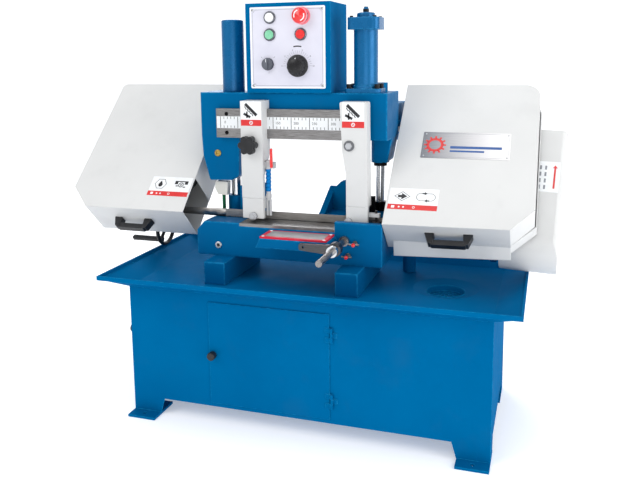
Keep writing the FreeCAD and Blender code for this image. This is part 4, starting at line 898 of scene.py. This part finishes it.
# ---------------------------------------------------------------- saw band
def gullet_cutter():
    """An object with one prism for each gullet along the upright working run."""
    pitch, depth, land, count = 6.0, 2.4, 1.0, 78
    start, edge, middle, reach = -335, 622, -250, 4
    gullets = bmesh.new()
    for step in range(count):
        x = start + pitch * step
        outline = [(x, edge - 2), (x, edge + depth - 0.6), (x + 0.8, edge + depth),
                   (x + pitch - land, edge), (x + pitch - land, edge - 2)]
        add_prism(gullets, outline, middle - reach, middle + reach)
    data = mesh_from(gullets, "gullets")
    data.transform(facing_front(0, 0, 0))
    return linked_object("gullets", data)


def make_toothed_band():
    """The CAD band with the gullets of its teeth cut along the upright working run."""
    mesh = bmesh.new()
    mesh.from_mesh(frame["nodes"]["saw_blade"].data)
    bmesh.ops.remove_doubles(mesh, verts=mesh.verts, dist=1e-6)
    band = linked_object("toothed_band", mesh_from(mesh, "toothed_band"))
    cutter = gullet_cutter()
    boolean = band.modifiers.new("gullets", "BOOLEAN")
    boolean.object = cutter
    boolean.solver = "EXACT"
    cut_mesh = worked_out_mesh(band)
    band.modifiers.clear()
    band.data = cut_mesh
    bpy.data.objects.remove(cutter)
    band.data.materials.clear()
    band.data.materials.append(MATERIALS["band_steel"])
    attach(band, "bow")
    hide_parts("saw_blade")


# ---------------------------------------------------------------- stage
def make_floor():
    """A pale floor that sweeps up into a backdrop."""
    shader = Shader("studio_floor", specular=0.1)
    colour = shader.mix(shader.noise(0.6), srgb(246, 247, 249), srgb(250, 250, 251))
    shader.surface.inputs["Emission Color"].default_value = (0.97, 0.985, 1, 1)
    shader.surface.inputs["Emission Strength"].default_value = 0.3
    front, bend, radius, top, half_width = -16.0, 5.0, 2.0, 6.0, 14.0
    turns = [math.radians(degrees) for degrees in range(0, 91, 9)]
    profile = [(front, 0.0)]
    profile += [(bend + radius * math.sin(a), radius - radius * math.cos(a)) for a in turns]
    profile += [(bend + radius, top)]
    verts = [(side * half_width, y, z) for y, z in profile for side in (-1, 1)]
    faces = [(2 * i, 2 * i + 1, 2 * i + 3, 2 * i + 2) for i in range(len(profile) - 1)]
    data = bpy.data.meshes.new("studio_sweep")
    data.from_pydata(verts, [], faces)
    for polygon in data.polygons:
        polygon.use_smooth = True
    data.materials.append(shader.finish(colour, 0.9))
    linked_object("studio_sweep", data)


def make_world():
    """Even white light from all round."""
    world = bpy.data.worlds.new("studio")
    world.use_nodes = True
    background = world.node_tree.nodes["Background"]
    background.inputs["Color"].default_value = (1, 1, 1, 1)
    background.inputs["Strength"].default_value = 0.66
    bpy.context.scene.world = world
    bpy.context.scene.view_settings.view_transform = "Standard"


def softbox(name, place, aim_height, width, power):
    """A square soft light that looks at the machine's middle at a height."""
    lamp = bpy.data.lights.new(name, "AREA")
    lamp.size = width
    lamp.energy = power
    holder = linked_object(name, lamp)
    holder.location = place
    holder.rotation_euler = (Vector((0, 0, aim_height)) - Vector(place)).to_track_quat("-Z", "Y").to_euler()


def make_lights():
    """Soft lights: from the front left, the right, above, behind, and low in front."""
    softbox("key_light", (-2.2, -3.0, 3.2), 0.7, 2.2, 48)
    softbox("fill_light", (3.6, -0.9, 1.3), 0.5, 2.4, 62)
    softbox("top_light", (0.2, 0.2, 3.6), 0.6, 2.4, 34)
    softbox("back_light", (-1.5, 3.0, 2.4), 0.8, 2.0, 40)
    softbox("low_light", (0.9, -2.8, 0.45), 0.6, 1.6, 15)


def make_camera():
    """A camera at chest height, ahead of the machine's right half and turned to the left."""
    lens = bpy.data.cameras.new("camera")
    lens.lens = 40.59
    lens.sensor_width = 36
    lens.shift_y = -0.12
    lens.clip_start = 0.1
    camera = linked_object("camera", lens)
    yaw, pitch, roll = math.radians(17.78), math.radians(8.43), math.radians(-0.58)
    back = Vector((math.sin(yaw) * math.cos(pitch), -math.cos(yaw) * math.cos(pitch), math.sin(pitch)))
    level = Vector((math.cos(yaw), math.sin(yaw), 0))
    up = back.cross(level)
    right = math.cos(roll) * level + math.sin(roll) * up
    top = -math.sin(roll) * level + math.cos(roll) * up
    turn = Matrix((right, top, back)).transposed().to_4x4()
    camera.matrix_world = Matrix.Translation(at(708, -1968, 1164)) @ turn
    bpy.context.scene.camera = camera


# ---------------------------------------------------------------- the whole machine
make_floor()
make_world()
make_lights()
make_camera()
dress_cad_nodes()
make_name_plate()
make_cover_label("right", RIGHT_SLAB, -224, -193, "drive_cover", travel_signs)
make_cover_label("left", LEFT_SLAB, 70, -191, "idler_cover", coolant_signs)
make_guard_label()
make_arm_label("left", -260, "sliding_arm")
make_arm_label("right", 85, "bow")
make_rail_scale()
make_rail_screws()
make_plugs()
make_panel_print()
make_panel_fittings()
make_emergency_details()
make_dial_details()
make_selector_details()
make_cylinder_screws()
make_outfeed_screws()
make_clamp_tips()
make_handwheel_hub()
make_toothed_band()
